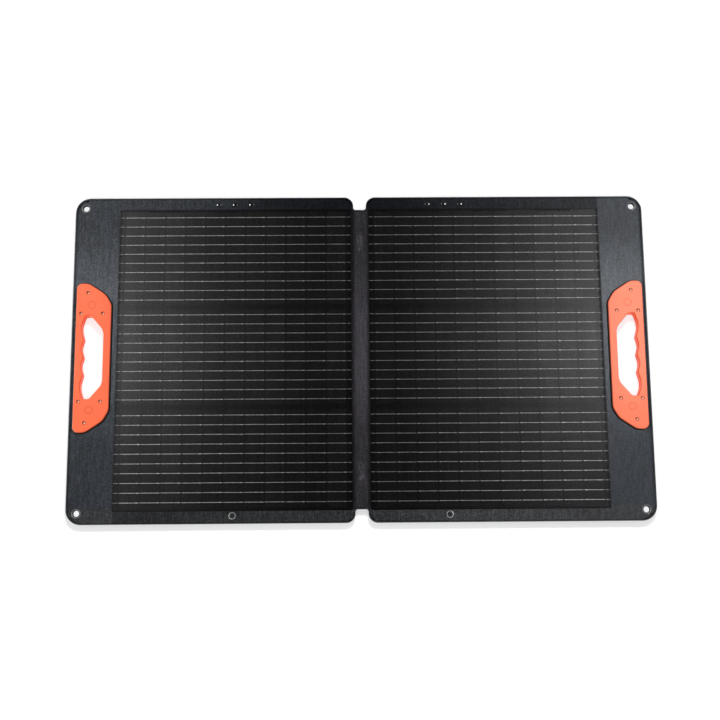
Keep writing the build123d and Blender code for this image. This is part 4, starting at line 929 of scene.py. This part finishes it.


# a near-black strip round each handle base, widest on the hinge-facing side, stands in for the shadow line there
m_shade_rim = woven("handle_seat_rubber", (0.0045, 0.0040, 0.0040), (0.014, 0.012, 0.012), "rest",
               pitch=0.7, rough=0.75, spec=0.15, streak=0.3)
for side, s in (("left", -1), ("right", 1)):
    lo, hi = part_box(f"{side}_handle_front")
    xo, xi, yy = max(abs(lo.x), abs(hi.x)), min(abs(lo.x), abs(hi.x)), hi.y
    half = [(xo, yy, 11 * MM), (514.5 * MM, yy, 25 * MM), (482 * MM, 121 * MM, 30 * MM), (xi, 101.5 * MM, 22 * MM)]
    path = round_corners(half + [(x, -y, r) for x, y, r in reversed(half)])
    zb, rows = Z_FACE - 0.15 * MM, ((0.55, 0.0), (1.05, 0.05), (1.25, 0.5), (1.2, 1.3), (0.95, 1.9), (0.5, 2.1), (-2.0, 2.05))
    verts, faces = [], []
    n = len(path)
    for d, h in rows:
        for k, (x, y, nx, ny) in enumerate(path):
            dd = d * MM * (1 if d < 0 else (1 + 0.06 * math.sin(k * 1.3)) * (1 - 1.0 * min(0, nx)))
            verts.append((s * (x + nx * dd), y + ny * dd, zb + h * MM))
    for r in range(len(rows) - 1):
        for k in range(n):
            q = (r * n + k, r * n + (k + 1) % n, (r + 1) * n + (k + 1) % n, (r + 1) * n + k)
            faces.append(q if s > 0 else q[::-1])
    shade_rim = to_mesh(f"{side}_handle_seat", verts, faces, m_shade_rim)
    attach(shade_rim, f"{side}_panel")


# -------------------------------------------------- finishes of the CAD nodes
hf_lo, hf_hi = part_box("left_handle_front")
# painted shade: the orange darkens to near black near the base of the front handle
m_handle = moulded("handle_orange", (0.745, 0.108, 0.038), (0.83, 0.130, 0.050), 0.44,
                   tint=(0.90, 0.250, 0.160), low_shade=(hf_lo.z + 1.6 * MM, hf_lo.z + 3.9 * MM, (0.030, 0.007, 0.006)),
                   grain=0.00005, spec=0.4, wear=(1.0, 0.55, 0.42), wear_amount=0.07, grip=True)
m_handle_rear = moulded("handle_orange_rear", (0.78, 0.120, 0.050), (0.86, 0.145, 0.062), 0.5,
                        tint=(0.90, 0.250, 0.160), grain=0.00006, spec=0.4, wear=(1.0, 0.55, 0.42), wear_amount=0.10,
                        grip=True)
gro_at, riv_at, eye_at, scr_at = [], [], [], []
for s in (-1, 1):
    gro, riv, eye = fittings(s)
    gro_at += [(s * x, y) for x, y in gro]
    riv_at += [(s * x, y) for x, y in riv]
    eye_at.append((s * eye[0], eye[1]))
    scr_at += [(s * x * MM, k * y * MM) for x, y in ((514.8, 124.0), (527.2, 84.0), (486.4, 84.0)) for k in (-1, 1)]
# painted glints on the rivets, grommets and snap rings; a painted light core and a painted dark spot on each screw head
riv_glint = []
for x, y in riv_at:
    s = math.copysign(1, x)
    riv_glint += [(x + s * 3.4 * MM, y, 1.10 * MM, (0.96, 0.96, 0.96)),
                  (x - s * 3.8 * MM, y, 0.70 * MM, (0.26, 0.26, 0.27))]
gro_glint = [(x + math.copysign(a, x) * MM, y + b * MM, 1.2 * MM, (0.34, 0.34, 0.35))
             for x, y in gro_at for a, b in ((7.8, 1.2), (6.6, -4.4), (3.0, -7.4), (-7.4, -2.6))]
screw_light_shade = [(x + 0.60 * MM, y - 0.50 * MM, 1.35 * MM, (0.84, 0.46, 0.34)) for x, y in scr_at]
screw_light_shade += [(x - 1.7 * MM, y + 1.2 * MM, 1.35 * MM, (0.07, 0.014, 0.009)) for x, y in scr_at]
eye_glint = []
for x, y in eye_at:
    s = math.copysign(1, x)
    for a, b, v in ((5.9, 0.4, 0.50), (4.6, 3.7, 0.60 if s > 0 else 0.30), (4.5, -3.9, 0.42), (1.2, -5.9, 0.34),
                    (-4.4, -4.0, 0.26), (-5.8, 1.5, 0.20)):
        eye_glint.append((x + s * a * MM, y + b * MM, 1.3 * MM, (v, v, v)))
finish = {
    "handle_front": m_handle,
    "handle_rear": m_handle_rear,
    # painted shade ring round each screw head in its recess
    "handle_screws": turned("screw_steel_plated", scr_at, (0.46, 0.150, 0.085), [(2.6, 3.2, (0.20, 0.040, 0.022))],
                            0.45, 0.1, screw_light_shade),
    "grommets": turned("grommet_gunmetal", gro_at, (0.020, 0.021, 0.023), [(7.3, 8.7, (0.19, 0.195, 0.20))],
                       0.34, 0.6, gro_glint),
    "grommet_washers": metal("washer_nickel", (0.80, 0.81, 0.82), (0.45, 0.45, 0.44), 0.30),
    "snap_eyelet": turned("snap_ring_nickel", eye_at, (0.022, 0.022, 0.024), [(5.3, 6.5, (0.30, 0.30, 0.305))],
                          0.30, 0.5, eye_glint),
    "snap_stud": metal("snap_stud_steel", (0.030, 0.031, 0.033), (0.010, 0.010, 0.011), 0.35, metallic=0.5),
    "snap_socket": metal("snap_socket_steel", (0.42, 0.43, 0.45), (0.18, 0.18, 0.19), 0.34),
    "stand_rivets": turned("rivet_black", riv_at, (0.0025, 0.0025, 0.003), [(4.4, 4.8, (0.010, 0.010, 0.011))],
                           0.50, 0.1, riv_glint),
    "stand_pin": metal("pin_steel_turned", (0.58, 0.59, 0.60), (0.28, 0.28, 0.28), 0.3, s=(0.1, 1, 1)),
    "stand_bracket": moulded("bracket_plastic", (0.022, 0.023, 0.025), (0.036, 0.038, 0.041), 0.5, wear=(0.3, 0.3, 0.3)),
    "stand_leg": moulded("leg_plastic", (0.020, 0.021, 0.023), (0.034, 0.036, 0.039), 0.52, grain=0.00009, wear=(0.28, 0.28, 0.29)),
    "stand_foot": moulded("foot_rubber", (0.012, 0.012, 0.013), (0.026, 0.026, 0.028), 0.8, spec=0.2, grain=0.00014, wear=(0.2, 0.19, 0.18)),
    "stiffener_board": moulded("board_laminate", (0.030, 0.030, 0.028), (0.050, 0.049, 0.045), 0.6),
    "encapsulant_sheet": moulded("encapsulant_clear_sheet", (0.10, 0.10, 0.10), (0.15, 0.15, 0.15), 0.3),
    "cell_strips": moulded("silicon_cells", (0.006, 0.008, 0.014), (0.012, 0.015, 0.024), 0.22, spec=0.6),
    "end_conductors": metal("tinned_copper", (0.70, 0.68, 0.64), (0.42, 0.38, 0.33), 0.3),
}
single = {
    "junction_box_tray": moulded("box_plastic", (0.020, 0.021, 0.022), (0.034, 0.035, 0.037), 0.48, wear=(0.3, 0.3, 0.3)),
    "junction_box_lid": moulded("box_lid_plastic", (0.022, 0.023, 0.024), (0.037, 0.038, 0.040), 0.42, wear=(0.32, 0.32, 0.32)),
    "junction_box_gasket": moulded("gasket_rubber", (0.06, 0.06, 0.06), (0.09, 0.09, 0.09), 0.8),
    "junction_circuit_board": moulded("circuit_laminate", (0.012, 0.10, 0.035), (0.018, 0.14, 0.05), 0.35),
    "junction_lid_screws": metal("lid_screw_steel", (0.62, 0.62, 0.63), (0.30, 0.30, 0.30), 0.28),
    "cable_gland": moulded("gland_nylon", (0.018, 0.018, 0.019), (0.030, 0.030, 0.032), 0.5),
    "output_cable": moulded("cable_jacket", (0.014, 0.014, 0.015), (0.026, 0.026, 0.028), 0.46, grain=0.00010, spec=0.45),
    "cable_clips": moulded("clip_nylon", (0.026, 0.027, 0.029), (0.040, 0.041, 0.044), 0.45),
    "output_plug_body": moulded("plug_plastic", (0.016, 0.016, 0.017), (0.028, 0.028, 0.030), 0.5),
    "output_plug_barrel": metal("plug_nickel", (0.86, 0.85, 0.80), (0.50, 0.47, 0.42), 0.2),
}
for name, o in nodes.items():
    if o.hide_render:
        continue
    key = name.split("_", 1)[1] if name.split("_", 1)[0] in ("left", "right") else name
    mat = finish.get(key) or single.get(name)
    if mat is None:
        continue
    o.data.materials.clear()
    o.data.materials.append(mat)
    o.data.polygons.foreach_set("use_smooth", [True] * len(o.data.polygons))
    w = o.modifiers.new("weld", "WELD")
    w.merge_threshold = 2e-6
    e = o.modifiers.new("split", "EDGE_SPLIT")
    e.split_angle = math.radians(32)
    e.use_edge_sharp = False


# --------------------------------------------------------------------- stage
floor_mat = Mat("studio_floor")
fl = floor_mat.noise(1.3, 3)
fine = floor_mat.noise(240, 2)
floor_m = floor_mat.done(floor_mat.mix(fl, (0.80, 0.80, 0.80), (0.83, 0.83, 0.83)),
                         floor_mat.add(0.7, floor_mat.mul(fine, 0.1)),
                         floor_mat.bump(fine, 0.00002, 0.2), spec=0.1)
ft = floor_mat.t
f_lp = ft.nodes.new("ShaderNodeLightPath")
f_em = ft.nodes.new("ShaderNodeEmission")
f_em.inputs[0].default_value = (0.985, 0.99, 1.0, 1)
f_em.inputs[1].default_value = 0.70
f_mix = ft.nodes.new("ShaderNodeMixShader")
f_far = floor_mat.f("SQRT", floor_mat.add(floor_mat.mul(floor_mat.x, floor_mat.x),
                                          floor_mat.mul(floor_mat.y, floor_mat.y)))
f_ax, f_ay = floor_mat.f("ABSOLUTE", floor_mat.x), floor_mat.f("ABSOLUTE", floor_mat.y)
# painted light: the floor seen through the hand holes and corner grommets glows brighter for camera rays, lifting the
# shade under the panel
f_hole_glow = floor_mat.mul(floor_mat.mul(floor_mat.span(f_ax, 0.480, 0.484), floor_mat.span(f_ax, 0.534, 0.530)),
                     floor_mat.span(f_ay, 0.086, 0.082, 0.0, 0.30))
f_gx, f_gy = floor_mat.sub(f_ax, 0.5275), floor_mat.sub(f_ay, 0.2925)
f_gr = floor_mat.f("SQRT", floor_mat.add(floor_mat.mul(f_gx, f_gx), floor_mat.mul(f_gy, f_gy)))
f_hole_glow = floor_mat.add(f_hole_glow, floor_mat.span(f_gr, 0.0105, 0.0085, 0.0, 0.55))
f_pos = ft.nodes.new("ShaderNodeSeparateXYZ")
f_geo = ft.nodes.new("ShaderNodeNewGeometry")
ft.links.new(f_geo.outputs["Position"], f_pos.inputs[0])
f_eye = ft.nodes.new("ShaderNodeSeparateXYZ")
ft.links.new(f_geo.outputs["Incoming"], f_eye.inputs[0])
f_hole_glow = floor_mat.mul(f_hole_glow, floor_mat.span(f_pos.outputs[2], -0.005, -0.001))
f_hole_glow = floor_mat.mul(f_hole_glow, floor_mat.span(floor_mat.f("ABSOLUTE", f_eye.outputs[2]), 0.50, 0.72))
f_half = floor_mat.add(floor_mat.span(f_far, 0.75, 2.6, 0.27, 0.86), f_hole_glow)
f_half = floor_mat.f("MULTIPLY", f_lp.outputs["Is Camera Ray"], f_half)
ft.links.new(f_half, f_mix.inputs[0])
ft.links.new(floor_mat.b.outputs[0], f_mix.inputs[1])
f_em.inputs[1].default_value = 1.04
ft.links.new(f_em.outputs[0], f_mix.inputs[2])
f_out = [n for n in ft.nodes if n.type == "OUTPUT_MATERIAL"][0]
ft.links.new(f_mix.outputs[0], f_out.inputs[0])
bpy.ops.mesh.primitive_circle_add(vertices=96, radius=30, fill_type="NGON", location=(0, 0, 0))
floor = bpy.context.object
floor.name = "floor"
floor.data.materials.append(floor_m)

# the floor drops as the legs swing out below it
probes = []
for side in ("left", "right"):
    lo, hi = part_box(f"{side}_stand_foot")
    for k, p in enumerate(((lo.x, lo.y, lo.z), (lo.x, lo.y, hi.z))):
        e = bpy.data.objects.new(f"probe_{side}_{k}", None)
        bpy.context.scene.collection.objects.link(e)
        e.location = p
        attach(e, f"{side}_stand")
        probes.append(e)
drv = floor.driver_add("location", 2).driver
drv.type = "SCRIPTED"
names = []
for i, e in enumerate(probes):
    v = drv.variables.new()
    v.name = f"p{i}"
    v.type = "TRANSFORMS"
    v.targets[0].id = e
    v.targets[0].transform_type = "LOC_Z"
    v.targets[0].transform_space = "WORLD_SPACE"
    names.append(v.name)
drv.expression = "min(" + ", ".join(names) + ", 0.0) - 0.0002"

world = bpy.data.worlds.new("studio")
bpy.context.scene.world = world
world.use_nodes = True
wt = world.node_tree
wt.nodes.clear()
wo = wt.nodes.new("ShaderNodeOutputWorld")
bg_light = wt.nodes.new("ShaderNodeBackground")
bg_cam = wt.nodes.new("ShaderNodeBackground")
lp = wt.nodes.new("ShaderNodeLightPath")
mx = wt.nodes.new("ShaderNodeMixShader")
bg_light.inputs[0].default_value = (1.0, 1.0, 1.0, 1)
bg_light.inputs[1].default_value = 0.50
bg_cam.inputs[0].default_value = (1, 1, 1, 1)
bg_cam.inputs[1].default_value = 1.0
bg_gloss = wt.nodes.new("ShaderNodeBackground")
mx2 = wt.nodes.new("ShaderNodeMixShader")
w_tc = wt.nodes.new("ShaderNodeTexCoord")
w_sep = wt.nodes.new("ShaderNodeSeparateXYZ")
w_map = wt.nodes.new("ShaderNodeMapRange")
wt.links.new(w_tc.outputs["Generated"], w_sep.inputs[0])
wt.links.new(w_sep.outputs[2], w_map.inputs[0])
for i, v in zip((1, 2, 3, 4), (0.15, 0.80, 0.90, 0.02)):
    w_map.inputs[i].default_value = v
bg_gloss.inputs[0].default_value = (1, 1, 1, 1)
wt.links.new(w_map.outputs[0], bg_gloss.inputs[1])
wt.links.new(lp.outputs["Is Glossy Ray"], mx2.inputs[0])
wt.links.new(bg_light.outputs[0], mx2.inputs[1])
wt.links.new(bg_gloss.outputs[0], mx2.inputs[2])
wt.links.new(lp.outputs["Is Camera Ray"], mx.inputs[0])
wt.links.new(mx2.outputs[0], mx.inputs[1])
wt.links.new(bg_cam.outputs[0], mx.inputs[2])
wt.links.new(mx.outputs[0], wo.inputs[0])


def softbox(name, loc, target, sx, sy, power, color=(1, 1, 1), spread=180):
    d = bpy.data.lights.new(name, "AREA")
    d.shape = "RECTANGLE"
    d.size, d.size_y = sx, sy
    d.energy = power
    d.color = color
    d.spread = math.radians(spread)
    o = bpy.data.objects.new(name, d)
    bpy.context.scene.collection.objects.link(o)
    o.location = loc
    o.rotation_mode = "QUATERNION"
    o.rotation_quaternion = (Vector(target) - Vector(loc)).to_track_quat("-Z", "Y")
    return o


key = softbox("key_top", (0.25, 2.05, 2.9), (0, 0, 0), 0.45, 0.45, 88)
key.visible_glossy = False
fill = softbox("overhead_fill", (0, -1.6, 3.0), (0, 0, 0), 2.4, 1.6, 60)
fill.visible_glossy = False
for name, x, p in (("side_left", -1.22, 9.5), ("side_right", 1.22, 15)):
    o = softbox(name, (x, 0.78, 2.45), (math.copysign(0.45, x), 0.05, 0), 0.75, 0.85, p)
    o.visible_diffuse = False

cam_data = bpy.data.cameras.new("camera")
cam = bpy.data.objects.new("camera", cam_data)
bpy.context.scene.collection.objects.link(cam)
cam_data.sensor_width = 36.0
cam_data.lens = 60.92
cam_data.clip_start, cam_data.clip_end = 0.05, 100
cam.matrix_world = Matrix(((0.99990627, 0.00636433, -0.01212224, -0.02935),
                           (-0.00850403, 0.98259159, -0.18558406, -0.4335),
                           (0.0107301, 0.18566975, 0.98255362, 2.2546 + Z_FACE),
                           (0, 0, 0, 1)))
bpy.context.scene.camera = cam
bpy.context.scene.view_settings.view_transform = "Standard"
bpy.context.scene.view_settings.look = "None"
bpy.context.scene.view_settings.exposure = 0.0
